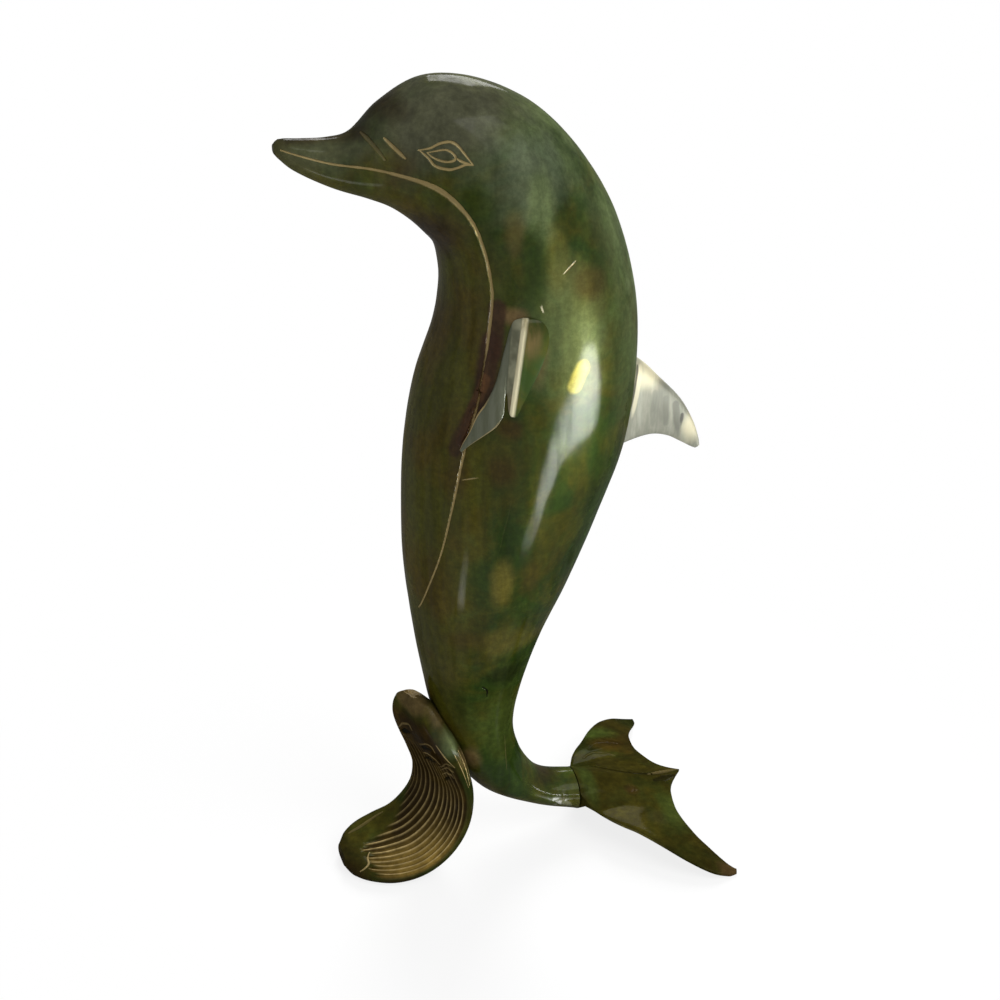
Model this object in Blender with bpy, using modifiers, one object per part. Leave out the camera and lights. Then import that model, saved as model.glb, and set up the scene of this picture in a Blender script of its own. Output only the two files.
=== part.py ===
"""A dolphin of cast brass, standing on the edge of a breaking wave and on its own tail flukes.

The body, dorsal fin, two flippers, tail flukes and wave foot are separate castings, brazed together.
Metres, +Z up. The dolphin's back faces +X, its belly -X and its left side -Y, and its middle plane is
Y = 0. The origin is the bottom centre of the whole figure.
"""

from collections import namedtuple
from math import copysign, cos, pi, radians, sin

import bmesh
import bpy
from mathutils import Vector
from mathutils.bvhtree import BVHTree

# The main sizes: along X from beak to flukes, up Z, and across Y.
FIGURE_LENGTH = 0.203
FIGURE_HEIGHT = 0.399
BODY_WIDTH = 0.092
FLUKE_SPAN = 0.147
WAVE_WIDTH = 0.054

# What a brazed casting keeps to the one that it sits on.
SEAT_GAP = 0.0003
# Points that lie closer than this are made one.
MERGE_DISTANCE = SEAT_GAP / 10

# The side view is drawn on a grid of squares, this many along the figure's length and this many up its
# height. All (x, z) points below are in its squares.
GRID_LENGTH = 203
GRID_HEIGHT = 399

# The body is lofted through ribs. Each rib is an oval with a point on the back and a point on the
# belly, both on the grid, and a share of the body's width.
Rib = namedtuple("Rib", "back belly width")
BODY_RIBS = [
    Rib((-100.0, 375.5), (-100.0, 371.5), 0.054),
    Rib((-97.5, 377.5), (-98.5, 369.5), 0.098),
    Rib((-88.0, 377.0), (-92.0, 363.5), 0.152),
    Rib((-76.0, 376.5), (-76.0, 354.5), 0.217),
    Rib((-66.0, 378.5), (-62.0, 349.0), 0.304),
    Rib((-53.0, 390.0), (-52.0, 344.5), 0.435),
    Rib((-33.0, 399.0), (-43.0, 338.0), 0.609),
    Rib((-9.5, 396.2), (-36.0, 331.0), 0.739),
    Rib((16.0, 383.2), (-30.2, 323.7), 0.826),
    Rib((37.0, 361.0), (-27.5, 312.0), 0.870),
    Rib((52.5, 334.0), (-27.5, 299.5), 0.913),
    Rib((62.5, 299.0), (-30.8, 283.0), 0.957),
    Rib((64.5, 264.0), (-40.0, 258.0), 1.000),
    Rib((60.0, 225.0), (-45.5, 229.0), 1.000),
    Rib((48.0, 190.0), (-47.5, 198.0), 0.935),
    Rib((34.5, 156.0), (-47.5, 166.0), 0.826),
    Rib((20.0, 124.0), (-44.5, 135.0), 0.674),
    Rib((10.0, 94.5), (-40.0, 105.0), 0.543),
    Rib((6.0, 71.0), (-35.0, 80.0), 0.435),
    Rib((9.5, 53.0), (-26.0, 54.0), 0.370),
    Rib((17.0, 39.0), (-11.0, 32.0), 0.326),
    Rib((26.0, 31.5), (15.0, 16.5), 0.283),
    Rib((40.0, 28.5), (40.0, 7.0), 0.261),
]
BODY_RINGS_PER_SPAN = 2
BODY_SIDES = 32

# A line engraved on both flanks: its route over the grid, the radius of the cut at its middle, and the
# steps between one point and the next.
Line = namedtuple("Line", "route radius steps")
MOUTH_LINE = Line([
    (-97.5, 374.0), (-90.3, 371.5), (-76.7, 367.5), (-60.6, 365.3), (-50.5, 363.0), (-41.2, 360.2),
    (-35.2, 357.1), (-29.0, 351.5), (-22.4, 342.5), (-17.8, 331.1), (-15.1, 319.9), (-13.9, 307.5),
    (-16.5, 285.0), (-21.5, 262.0), (-27.8, 237.2), (-33.2, 207.3), (-37.1, 184.7), (-41.6, 163.5),
    (-44.3, 147.5),
], 0.0008, 3)
UPPER_LID = Line([
    (-43.5, 374.6), (-39.0, 375.7), (-35.0, 377.6), (-30.9, 378.2), (-28.3, 376.9), (-26.1, 374.1),
    (-22.4, 368.8),
], 0.0007, 2)
LOWER_LID = Line([
    (-43.0, 374.5), (-40.1, 371.7), (-37.5, 368.4), (-32.2, 367.0), (-29.0, 367.7), (-25.5, 369.0),
    (-22.8, 368.9),
], 0.0007, 2)
IRIS = Line([
    (-40.3, 373.8), (-36.8, 374.6), (-33.2, 375.1), (-30.9, 374.2), (-29.2, 371.8), (-30.4, 370.6),
    (-33.1, 370.2), (-36.3, 371.0), (-38.8, 372.4),
], 0.0006, 2)
EYE_CORNER = Line([(-29.2, 371.8), (-26.9, 370.3), (-23.6, 369.2)], 0.0006, 2)
FRONT_BEAK_FOLD = Line([(-63.5, 379.2), (-62.0, 377.6), (-59.5, 374.3), (-56.2, 369.8)], 0.0011, 2)
REAR_BEAK_FOLD = Line([(-55.8, 378.4), (-52.3, 374.6), (-48.7, 370.9)], 0.0010, 2)
# How wide an open line is at its ends, as a share of its width at its middle.
LINE_END_WIDTH = 0.5

# A blade is lofted through chords. Each chord runs from its leading edge to its trailing edge, both on
# the grid, and has shares of the blade's thickness: its own thickness and how far its middle stands off
# the flank.
Chord = namedtuple("Chord", "leading trailing thickness stand_off", defaults=[0])
DORSAL_FIN_THICKNESS = 0.0100
DORSAL_FIN_CHORDS = [
    Chord((54.0, 264.5), (54.0, 211.0), 1.00),
    Chord((68.5, 257.2), (65.5, 215.0), 0.92),
    Chord((79.8, 246.0), (76.0, 216.8), 0.76),
    Chord((90.5, 234.2), (84.5, 215.0), 0.60),
    Chord((97.5, 222.0), (91.5, 211.0), 0.44),
    Chord((101.2, 211.8), (97.5, 207.2), 0.30),
    Chord((102.0, 207.5), (99.8, 206.0), 0.18),
]
# The flippers grow out of the flanks to a ridge, step down again in front of it and lie back along the
# flanks to their tips.
FLIPPER_THICKNESS = 0.0060
FLIPPER_CHORDS = [
    Chord((14.0, 299.0), (6.0, 254.0), 0.80, -0.42),
    Chord((8.0, 300.0), (0.5, 254.5), 0.85, -0.27),
    Chord((2.5, 300.6), (-4.5, 255.4), 0.95, -0.10),
    Chord((-1.3, 301.0), (-8.5, 256.2), 1.00, 0.07),
    Chord((-2.8, 300.8), (-9.4, 257.2), 0.88, 0.00),
    Chord((-6.2, 299.0), (-10.8, 258.4), 0.50, -0.06),
    Chord((-10.0, 286.0), (-11.8, 256.8), 0.46, 0.05),
    Chord((-14.4, 271.4), (-13.4, 253.8), 0.44, 0.14),
    Chord((-18.7, 262.4), (-15.8, 250.8), 0.40, 0.20),
    Chord((-22.4, 256.3), (-19.2, 247.8), 0.36, 0.24),
    Chord((-25.6, 248.4), (-23.2, 244.4), 0.32, 0.27),
    Chord((-28.3, 242.6), (-26.6, 241.0), 0.27, 0.28),
    Chord((-29.7, 238.8), (-29.0, 238.0), 0.18, 0.28),
]
BLADE_RINGS_PER_SPAN = 2
BLADE_SIDES = 14
# A blade's section is an oval of this fullness, squarer for a lower power, and made fuller in front and
# thinner behind by the taper.
BLADE_FULLNESS = 0.8
BLADE_OVAL_POWER = 0.7
BLADE_TAPER = 0.45

# The flukes meet the stalk at its last rib. Beyond the stalk their leading edge sweeps out to the tip,
# and their trailing edge runs from the tip back to a point on the middle plane. Each point has its x
# and z on the grid and, between them, its share of half the span.
FLUKE_LEADING_EDGE = [
    (45.5, 0.272, 15.0), (50.0, 0.395, 14.8), (54.5, 0.483, 14.5), (60.5, 0.578, 13.8),
    (69.0, 0.735, 11.8), (79.0, 0.891, 8.0), (89.0, 0.986, 4.0), (97.5, 1.000, 1.2), (102.2, 0.986, 0.4),
]
FLUKE_TRAILING_POINT = [
    (100.5, 0, 15.5), (96.0, 0.061, 14.7), (92.5, 0.122, 14.2), (90.0, 0.190, 13.8), (88.5, 0.259, 13.5),
]
FLUKE_TRAILING_EDGE = [
    (87.5, 0.327, 13.0), (87.0, 0.401, 12.2), (87.5, 0.476, 11.2), (88.8, 0.558, 9.8),
    (90.8, 0.653, 8.0), (93.7, 0.741, 6.0), (97.0, 0.823, 3.5), (100.5, 0.898, 1.2), (103.0, 0.946, 0.4),
]
FLUKE_HALF_THICKNESS = 0.0020
FLUKE_EDGE_HALF_THICKNESS = 0.0007
FLUKE_STEPS = 9
# Share of the way to the trailing edge over which the stalk's depth fades out.
FLUKE_ROOT_FADE = 0.8
# Below 1, this puts the blade's fullest place before the middle.
FLUKE_FULLEST_POWER = 0.7

# The wave is a fluted plate that curls up from its toe to its crest. Its stations are points of its
# middle line, with x and z on the grid and how far aside it is as a share of the wave's width. Each
# has shares of the plate's thickness and width, and two angles in degrees: how far the plate turns its
# face to the dolphin's left, and how far its right rim is lifted.
WAVE_THICKNESS = 0.018
Station = namedtuple("Station", "x z aside thickness width turn lift")
WAVE_STATIONS = [
    Station(-45.5, 93.0, 0.000, 0.39, 0.185, 21, 0),
    Station(-45.5, 89.5, 0.000, 0.72, 0.352, 21, 0),
    Station(-43.3, 78.5, 0.000, 0.94, 0.574, 21, 0),
    Station(-38.5, 66.0, 0.000, 1.00, 0.722, 21, 0),
    Station(-34.0, 53.0, -0.009, 0.89, 0.789, 21, 0),
    Station(-31.3, 40.0, -0.019, 0.73, 0.852, 20, 1),
    Station(-33.3, 27.0, -0.037, 0.67, 0.907, 17, 3),
    Station(-40.0, 16.5, -0.052, 0.67, 0.963, 12, 5),
    Station(-50.0, 8.8, -0.056, 0.69, 1.000, 6, 5),
    Station(-62.0, 5.6, -0.052, 0.73, 0.981, 2, 4),
    Station(-73.0, 4.9, -0.046, 0.69, 0.833, 0, 3),
    Station(-81.0, 4.8, -0.046, 0.61, 0.574, 0, 2),
    Station(-85.2, 5.5, -0.046, 0.32, 0.296, 0, 1),
]
# The plate's section is a squared oval, whose face is dished by a share of its half thickness.
WAVE_SQUARENESS = 4
WAVE_DISH = 0.35
WAVE_FLUTES = 16
WAVE_FLUTE_DEPTH = 0.0008
WAVE_POINTS_PER_FLUTE = 3
# Where the flutes fade in and out, as shares of the way from crest to toe.
FLUTES_BEGIN = (0.12, 0.22)
FLUTES_END = (0.78, 0.86)
# How much the flutes crowd towards the rims, from 0 for even ones to 1.
FLUTE_CROWDING = 0.6
# Where they fade in across the face, from -1 at its left rim to 1 at its right rim.
FLUTES_LEFT_RIM = (-1.0, -0.94)
# The right rim's smooth border starts here, and widens by the spread towards the toe.
FLUTES_RIGHT_RIM = 0.85
FLUTES_RIGHT_FADE = 0.15
TOE_BORDER_SPREAD = 0.9
TOE_BORDER_BEGINS = (0.4, 0.85)
WAVE_BACK_POINTS = 12
WAVE_RINGS_PER_SPAN = 2

# Depth of the cut that leaves a flat under the wave foot and under both fluke tips.
FLOOR_CUT = 0.02

# Edges that turn by more than this many degrees are shaded sharp.
SHARP_EDGE = 45

Finish = namedtuple("Finish", "colour roughness metallic")
GREEN_BRASS = Finish((0.045, 0.060, 0.018), 0.30, 0.6)
BARE_METAL = Finish((0.62, 0.60, 0.52), 0.35, 1.0)
WAVE_BRASS = Finish((0.110, 0.085, 0.025), 0.35, 0.7)


def remove_old_objects():
    for old in list(bpy.data.objects):
        bpy.data.objects.remove(old, do_unlink=True)


def new_collection(name):
    collection = bpy.data.collections.new(name)
    bpy.context.scene.collection.children.link(collection)
    return collection


def new_material(name, finish):
    material = bpy.data.materials.new(name)
    material.use_nodes = True
    shader = material.node_tree.nodes["Principled BSDF"]
    shader.inputs["Base Color"].default_value = (*finish.colour, 1)
    shader.inputs["Roughness"].default_value = finish.roughness
    shader.inputs["Metallic"].default_value = finish.metallic
    return material


def on_grid(x, z, y=0):
    """A point of the side view, given in squares, at its real place."""
    return Vector((x * FIGURE_LENGTH / GRID_LENGTH, y, z * FIGURE_HEIGHT / GRID_HEIGHT))


def smooth_rows(rows, steps, measured=None):
    """A smooth curve through rows of numbers, with so many steps between one row and the next.

    The distance between two rows is that of their first so many measured numbers, or of all of them.
    """
    rows = [Vector(row) for row in rows]
    last = len(rows) - 1

    def distance(one, other):
        return Vector((one - other)[:measured]).length

    curve = []
    for index in range(last):
        start, end = rows[index], rows[index + 1]
        before = rows[index - 1] if index else start * 2 - end
        after = rows[index + 2] if index + 2 <= last else end * 2 - start
        span = distance(start, end)
        leave = (end - before) * span / (distance(before, start) + span)
        arrive = (after - start) * span / (span + distance(end, after))
        for step in range(steps):
            t = step / steps
            curve.append(
                start * (2 * t ** 3 - 3 * t ** 2 + 1) + leave * (t ** 3 - 2 * t ** 2 + t)
                + end * (3 * t ** 2 - 2 * t ** 3) + arrive * (t ** 3 - t ** 2)
            )
    curve.append(rows[last])
    return curve


def closed_loft(rings):
    """A closed mesh through rings of as many points each, with a face over each end."""
    mesh = bmesh.new()
    rows = [[mesh.verts.new(point) for point in ring] for ring in rings]
    for low, high in zip(rows, rows[1:]):
        for index in range(len(low)):
            follow = (index + 1) % len(low)
            mesh.faces.new((low[index], low[follow], high[follow], high[index]))
    mesh.faces.new(reversed(rows[0]))
    mesh.faces.new(rows[-1])
    bmesh.ops.recalc_face_normals(mesh, faces=mesh.faces)
    return mesh


def add_object(name, mesh, finish, collection):
    data = bpy.data.meshes.new(name)
    mesh.to_mesh(data)
    mesh.free()
    data.shade_smooth()
    data.set_sharp_from_angle(angle=radians(SHARP_EDGE))
    data.materials.append(new_material(name + "_finish", finish))
    made = bpy.data.objects.new(name, data)
    collection.objects.link(made)
    return made


def add_cutter(name, mesh, collection):
    cutter = bpy.data.objects.new(name, bpy.data.meshes.new(name))
    mesh.to_mesh(cutter.data)
    mesh.free()
    collection.objects.link(cutter)
    cutter.hide_render = True
    cutter.display_type = "WIRE"
    return cutter


def cut(target, cutter):
    modifier = target.modifiers.new("cut_by_" + cutter.name, "BOOLEAN")
    modifier.operation = "DIFFERENCE"
    modifier.solver = "EXACT"
    modifier.object = cutter


def body_mesh():
    rows = [(*on_grid(*rib.back), *on_grid(*rib.belly), rib.width * BODY_WIDTH / 2) for rib in BODY_RIBS]
    rings = []
    for row in smooth_rows(rows, BODY_RINGS_PER_SPAN):
        back, belly, side = Vector(row[0:3]), Vector(row[3:6]), Vector((0, row[6], 0))
        middle, reach = (back + belly) / 2, (back - belly) / 2
        turns = [2 * pi * step / BODY_SIDES for step in range(BODY_SIDES)]
        rings.append([middle + reach * cos(turn) + side * sin(turn) for turn in turns])
    return closed_loft(rings)


def seat_cutter(collection):
    """The uncut body, grown all over by the gap that its neighbours keep."""
    mesh = body_mesh()
    mesh.normal_update()
    for vertex in mesh.verts:
        vertex.co += vertex.normal * SEAT_GAP
    return add_cutter("body_seat", mesh, collection)


def on_flank(tree, x, z, side):
    """A point of the grid, dropped on the body's flank from its left (-1) or its right (1)."""
    return tree.ray_cast(on_grid(x, z, side), Vector((0, -side, 0)))[0]


def groove_cutter(name, points, radius, shares, collection, closed=False):
    """A round bar along the points, to be cut out of the body, with a share of the radius at each."""
    data = bpy.data.curves.new(name, "CURVE")
    data.dimensions = "3D"
    data.bevel_depth = radius
    data.bevel_resolution = 1
    data.use_fill_caps = True
    spline = data.splines.new("POLY")
    spline.points.add(len(points) - 1)
    spline.use_cyclic_u = closed
    for vertex, point, share in zip(spline.points, points, shares):
        vertex.co = (*point, 1)
        vertex.radius = share
    curve = bpy.data.objects.new(name, data)
    collection.objects.link(curve)
    evaluated = curve.evaluated_get(bpy.context.evaluated_depsgraph_get())
    mesh = bmesh.new()
    mesh.from_mesh(bpy.data.meshes.new_from_object(evaluated))
    bmesh.ops.remove_doubles(mesh, verts=mesh.verts, dist=MERGE_DISTANCE)
    bmesh.ops.recalc_face_normals(mesh, faces=mesh.faces)
    bpy.data.objects.remove(curve, do_unlink=True)
    return add_cutter(name, mesh, collection)


def engrave(body, tree, name, line, collection, closed=False):
    """Cut a line into both flanks. An open line thins out towards its ends."""
    route = line.route + line.route[:1] if closed else line.route
    fine = smooth_rows(route, line.steps)
    if closed:
        fine.pop()
    last = len(fine) - 1
    ends = 1 if closed else LINE_END_WIDTH
    shares = [ends + (1 - ends) * sin(pi * step / last) for step in range(last + 1)]
    for side, word in ((-1, "left"), (1, "right")):
        points = [on_flank(tree, x, z, side) for x, z in fine]
        cut(body, groove_cutter(f"{word}_{name}", points, line.radius, shares, collection, closed))


def dorsal_fin_mesh():
    sections = []
    for chord in DORSAL_FIN_CHORDS:
        half_thickness = chord.thickness * DORSAL_FIN_THICKNESS / 2
        sections.append((*on_grid(*chord.leading), *on_grid(*chord.trailing), half_thickness))
    return blade_mesh(sections)


def flipper_mesh(tree, side):
    """A flipper along the left (-1) or the right (1) flank, whose chords follow the flank."""
    sections = []
    for chord in FLIPPER_CHORDS:
        off = Vector((0, side * chord.stand_off * FLIPPER_THICKNESS, 0))
        leading = on_flank(tree, *chord.leading, side) + off
        trailing = on_flank(tree, *chord.trailing, side) + off
        sections.append((*leading, *trailing, chord.thickness * FLIPPER_THICKNESS / 2))
    return blade_mesh(sections)


def blade_mesh(sections):
    """A blade with a round leading edge and a thin trailing edge."""
    curve = smooth_rows(sections, BLADE_RINGS_PER_SPAN)
    root, tip = curve[0], curve[-1]
    span = Vector(tip[0:3]) + Vector(tip[3:6]) - Vector(root[0:3]) - Vector(root[3:6])
    across = span.cross(Vector(root[0:3]) - Vector(root[3:6])).normalized()
    rings = []
    for row in curve:
        leading, trailing, half_thickness = Vector(row[0:3]), Vector(row[3:6]), row[6]
        ring = []
        for step in range(BLADE_SIDES):
            turn = 2 * pi * step / BLADE_SIDES
            along = (1 - cos(turn)) / 2
            ring.append(leading.lerp(trailing, along) + across * half_thickness * blade_fullness(turn))
        rings.append(ring)
    return closed_loft(rings)


def blade_fullness(turn):
    """A blade's thickness round its section: fullest before the middle, thin but not sharp behind."""
    oval = copysign(abs(sin(turn)) ** BLADE_OVAL_POWER, sin(turn))
    return oval * (BLADE_FULLNESS + BLADE_TAPER * cos(turn))


def fluke_point(x, share, z):
    return on_grid(x, z, share * FLUKE_SPAN / 2)


def fluke_mesh():
    """Half of the flukes, open at the middle plane, as an upper and a lower sheet that share an edge."""
    stalk = BODY_RIBS[-1]
    stalk_top, stalk_bottom = on_grid(*stalk.back), on_grid(*stalk.belly)
    seam = (stalk_top + stalk_bottom) / 2 + Vector((SEAT_GAP, 0, 0))
    seam_steps = len(FLUKE_TRAILING_POINT)
    rows = []
    for step, point in enumerate(FLUKE_TRAILING_POINT):
        turn = pi / 2 * step / seam_steps
        leading = seam + Vector((0, stalk.width * BODY_WIDTH / 2 * sin(turn), 0))
        rows.append((leading, fluke_point(*point), (stalk_top - stalk_bottom).z / 2 * cos(turn)))
    for front, rear in zip(FLUKE_LEADING_EDGE, FLUKE_TRAILING_EDGE):
        rows.append((fluke_point(*front), fluke_point(*rear), FLUKE_EDGE_HALF_THICKNESS))
    mesh = bmesh.new()
    upper, lower = [], []
    for leading, trailing, root in rows:
        top_row, low_row = [], []
        for step in range(FLUKE_STEPS + 1):
            along = step / FLUKE_STEPS
            place = leading.lerp(trailing, along)
            half = fluke_half_thickness(along, root)
            top_row.append(mesh.verts.new(place + Vector((0, 0, half))))
            low_row.append(mesh.verts.new(place - Vector((0, 0, half))))
        upper.append(top_row)
        lower.append(low_row)
    for sheet in (upper, lower):
        for one, other in zip(sheet, sheet[1:]):
            for step in range(FLUKE_STEPS):
                mesh.faces.new((one[step], one[step + 1], other[step + 1], other[step]))
    for edge in (0, FLUKE_STEPS):
        for index in range(len(rows) - 1):
            mesh.faces.new((upper[index][edge], upper[index + 1][edge],
                            lower[index + 1][edge], lower[index][edge]))
    for step in range(FLUKE_STEPS):
        mesh.faces.new((upper[-1][step], upper[-1][step + 1], lower[-1][step + 1], lower[-1][step]))
    bmesh.ops.recalc_face_normals(mesh, faces=mesh.faces)
    return mesh


def fluke_half_thickness(along, root):
    """From the stalk's own depth down to a blade, fullest about a third of the way back."""
    fade = max(0, 1 - along / FLUKE_ROOT_FADE) ** 2
    belly = (FLUKE_HALF_THICKNESS - FLUKE_EDGE_HALF_THICKNESS) * sin(pi * along ** FLUKE_FULLEST_POWER)
    return FLUKE_EDGE_HALF_THICKNESS + belly + (root - FLUKE_EDGE_HALF_THICKNESS) * fade


def wave_row(station):
    """A station's place, half thickness, half width, turn and lift, as one row of numbers."""
    place = on_grid(station.x, station.z, station.aside * WAVE_WIDTH)
    half_thickness, half_width = station.thickness * WAVE_THICKNESS / 2, station.width * WAVE_WIDTH / 2
    return (*place, half_thickness, half_width, station.turn, station.lift)


def wave_mesh():
    """The fluted face looks forward and to the left; the back is smooth."""
    rows = smooth_rows([wave_row(station) for station in WAVE_STATIONS], WAVE_RINGS_PER_SPAN, measured=3)
    face_count = WAVE_FLUTES * WAVE_POINTS_PER_FLUTE
    shares = [2 * step / face_count - 1 for step in range(face_count + 1)]
    rings = []
    for index, (x, y, z, half_thickness, half_width, turn, lift) in enumerate(rows):
        before, after = rows[max(index - 1, 0)], rows[min(index + 1, len(rows) - 1)]
        heading = Vector((after[0] - before[0], 0, after[2] - before[2])).normalized()
        face_axis = Vector((heading[2], 0, -heading[0]))
        turn, lift = radians(turn), radians(lift)
        width_axis = Vector((-sin(turn) * cos(lift), cos(turn) * cos(lift), sin(lift)))
        place = Vector((x, y, z))
        along = index / (len(rows) - 1)
        face = [
            Vector((half_width * spread(share), half_thickness * face_height(share)))
            for share in shares
        ]
        ring = []
        for step, share in enumerate(shares):
            tangent = face[min(step + 1, face_count)] - face[max(step - 1, 0)]
            inward = Vector((tangent.y, -tangent.x)).normalized()
            width, depth = face[step] + inward * flute_depth(along, share)
            ring.append(place + width_axis * width + face_axis * depth)
        for step in range(1, WAVE_BACK_POINTS):
            across = cos(pi * step / WAVE_BACK_POINTS)
            depth = half_thickness * squared_oval(across)
            ring.append(place + width_axis * half_width * across - face_axis * depth)
        rings.append(ring)
    return closed_loft(rings)


def squared_oval(across):
    return (1 - abs(across) ** WAVE_SQUARENESS) ** 0.5


def spread(share):
    """How far across the face a share of its points reaches, both from -1 to 1."""
    return (1 - FLUTE_CROWDING) * share + FLUTE_CROWDING * sin(pi / 2 * share)


def face_height(share):
    across = spread(share)
    return squared_oval(across) - WAVE_DISH * (1 - across ** 2)


def flute_depth(along, share):
    """Flutes run from the neck under the crest to a smooth toe, and over the left rim."""
    lengthwise = smooth_step(*FLUTES_BEGIN, along) * (1 - smooth_step(*FLUTES_END, along))
    border = FLUTES_RIGHT_RIM - TOE_BORDER_SPREAD * smooth_step(*TOE_BORDER_BEGINS, along)
    right_side = 1 - smooth_step(border, border + FLUTES_RIGHT_FADE, share)
    crosswise = smooth_step(*FLUTES_LEFT_RIM, share) * right_side
    ripple = 0.5 - 0.5 * cos(pi * WAVE_FLUTES * (share + 1))
    return WAVE_FLUTE_DEPTH * lengthwise * crosswise * ripple


def smooth_step(low, high, value):
    t = min(1, max(0, (value - low) / (high - low)))
    return t * t * (3 - 2 * t)


def floor_cutter(collection):
    """A block below the floor, which cuts a flat under each foot."""
    mesh = bmesh.new()
    bmesh.ops.create_cube(mesh, size=1)
    for vertex in mesh.verts:
        vertex.co.z = 0 if vertex.co.z > 0 else -FLOOR_CUT
    return add_cutter("floor_block", mesh, collection)


remove_old_objects()
figure = new_collection("dolphin_figure")
cutters = new_collection("cutters")

seat = seat_cutter(cutters)
floor_block = floor_cutter(cutters)

body = add_object("body", body_mesh(), GREEN_BRASS, figure)
flanks = BVHTree.FromObject(body, bpy.context.evaluated_depsgraph_get())
engrave(body, flanks, "mouth_line", MOUTH_LINE, cutters)
engrave(body, flanks, "upper_lid", UPPER_LID, cutters)
engrave(body, flanks, "lower_lid", LOWER_LID, cutters)
engrave(body, flanks, "iris", IRIS, cutters, closed=True)
engrave(body, flanks, "eye_corner", EYE_CORNER, cutters)
engrave(body, flanks, "front_beak_fold", FRONT_BEAK_FOLD, cutters)
engrave(body, flanks, "rear_beak_fold", REAR_BEAK_FOLD, cutters)

dorsal_fin = add_object("dorsal_fin", dorsal_fin_mesh(), BARE_METAL, figure)
left_flipper = add_object("left_flipper", flipper_mesh(flanks, -1), GREEN_BRASS, figure)
right_flipper = add_object("right_flipper", flipper_mesh(flanks, 1), GREEN_BRASS, figure)
for fin in (dorsal_fin, left_flipper, right_flipper):
    cut(fin, seat)

tail_flukes = add_object("tail_flukes", fluke_mesh(), GREEN_BRASS, figure)
mirror = tail_flukes.modifiers.new("other_half", "MIRROR")
mirror.use_axis = (False, True, False)
mirror.merge_threshold = MERGE_DISTANCE
cut(tail_flukes, floor_block)

wave_foot = add_object("wave_foot", wave_mesh(), WAVE_BRASS, figure)
cut(wave_foot, seat)
cut(wave_foot, floor_block)

bpy.context.view_layer.update()
graph = bpy.context.evaluated_depsgraph_get()
reach = [
    (piece.matrix_world @ Vector(corner)).x
    for piece in figure.objects
    for corner in piece.evaluated_get(graph).bound_box
]
stand = bpy.data.objects.new("stand", None)
figure.objects.link(stand)
stand.location.x = -(min(reach) + max(reach)) / 2
for piece in list(figure.objects) + list(cutters.objects):
    if piece is not stand:
        piece.parent = stand
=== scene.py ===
"""The finished surfaces of the cast brass dolphin: patina, engraving, flutes, braze and brush marks, with
painted sheen, highlights and shade in places.
"""

from collections import namedtuple
from math import ceil, cos, pi, radians, sin

import bmesh
import bpy
import numpy as np
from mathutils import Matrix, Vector, kdtree, noise
from mathutils.bvhtree import BVHTree


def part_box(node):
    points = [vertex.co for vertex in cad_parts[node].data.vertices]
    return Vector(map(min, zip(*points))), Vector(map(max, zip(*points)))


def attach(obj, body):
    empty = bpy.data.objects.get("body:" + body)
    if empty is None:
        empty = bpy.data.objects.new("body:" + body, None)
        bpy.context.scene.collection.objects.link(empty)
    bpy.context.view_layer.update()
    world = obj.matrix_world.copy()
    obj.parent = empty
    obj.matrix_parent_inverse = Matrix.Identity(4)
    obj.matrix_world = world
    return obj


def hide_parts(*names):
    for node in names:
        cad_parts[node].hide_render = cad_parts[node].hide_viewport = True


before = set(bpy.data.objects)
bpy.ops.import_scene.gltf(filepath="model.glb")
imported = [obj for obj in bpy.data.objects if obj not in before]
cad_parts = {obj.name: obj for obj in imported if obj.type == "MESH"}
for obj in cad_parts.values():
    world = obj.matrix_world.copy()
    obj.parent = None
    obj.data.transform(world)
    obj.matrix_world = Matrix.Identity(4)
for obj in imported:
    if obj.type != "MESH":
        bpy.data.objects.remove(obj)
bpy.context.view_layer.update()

# The forms below repeat the driving sizes of the solids that they stand for, in metres.
# The main sizes: along X from beak to flukes, up Z, and across Y.
FIGURE_LENGTH = 0.203
FIGURE_HEIGHT = 0.399
BODY_WIDTH = 0.092
FLUKE_SPAN = 0.147
WAVE_WIDTH = 0.054

# What a brazed casting keeps to the one that it sits on.
SEAT_GAP = 0.0003

# The side view is drawn on a grid of squares, this many along the figure's length and this many up its
# height. All (x, z) points below are in its squares.
GRID_LENGTH = 203
GRID_HEIGHT = 399

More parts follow.
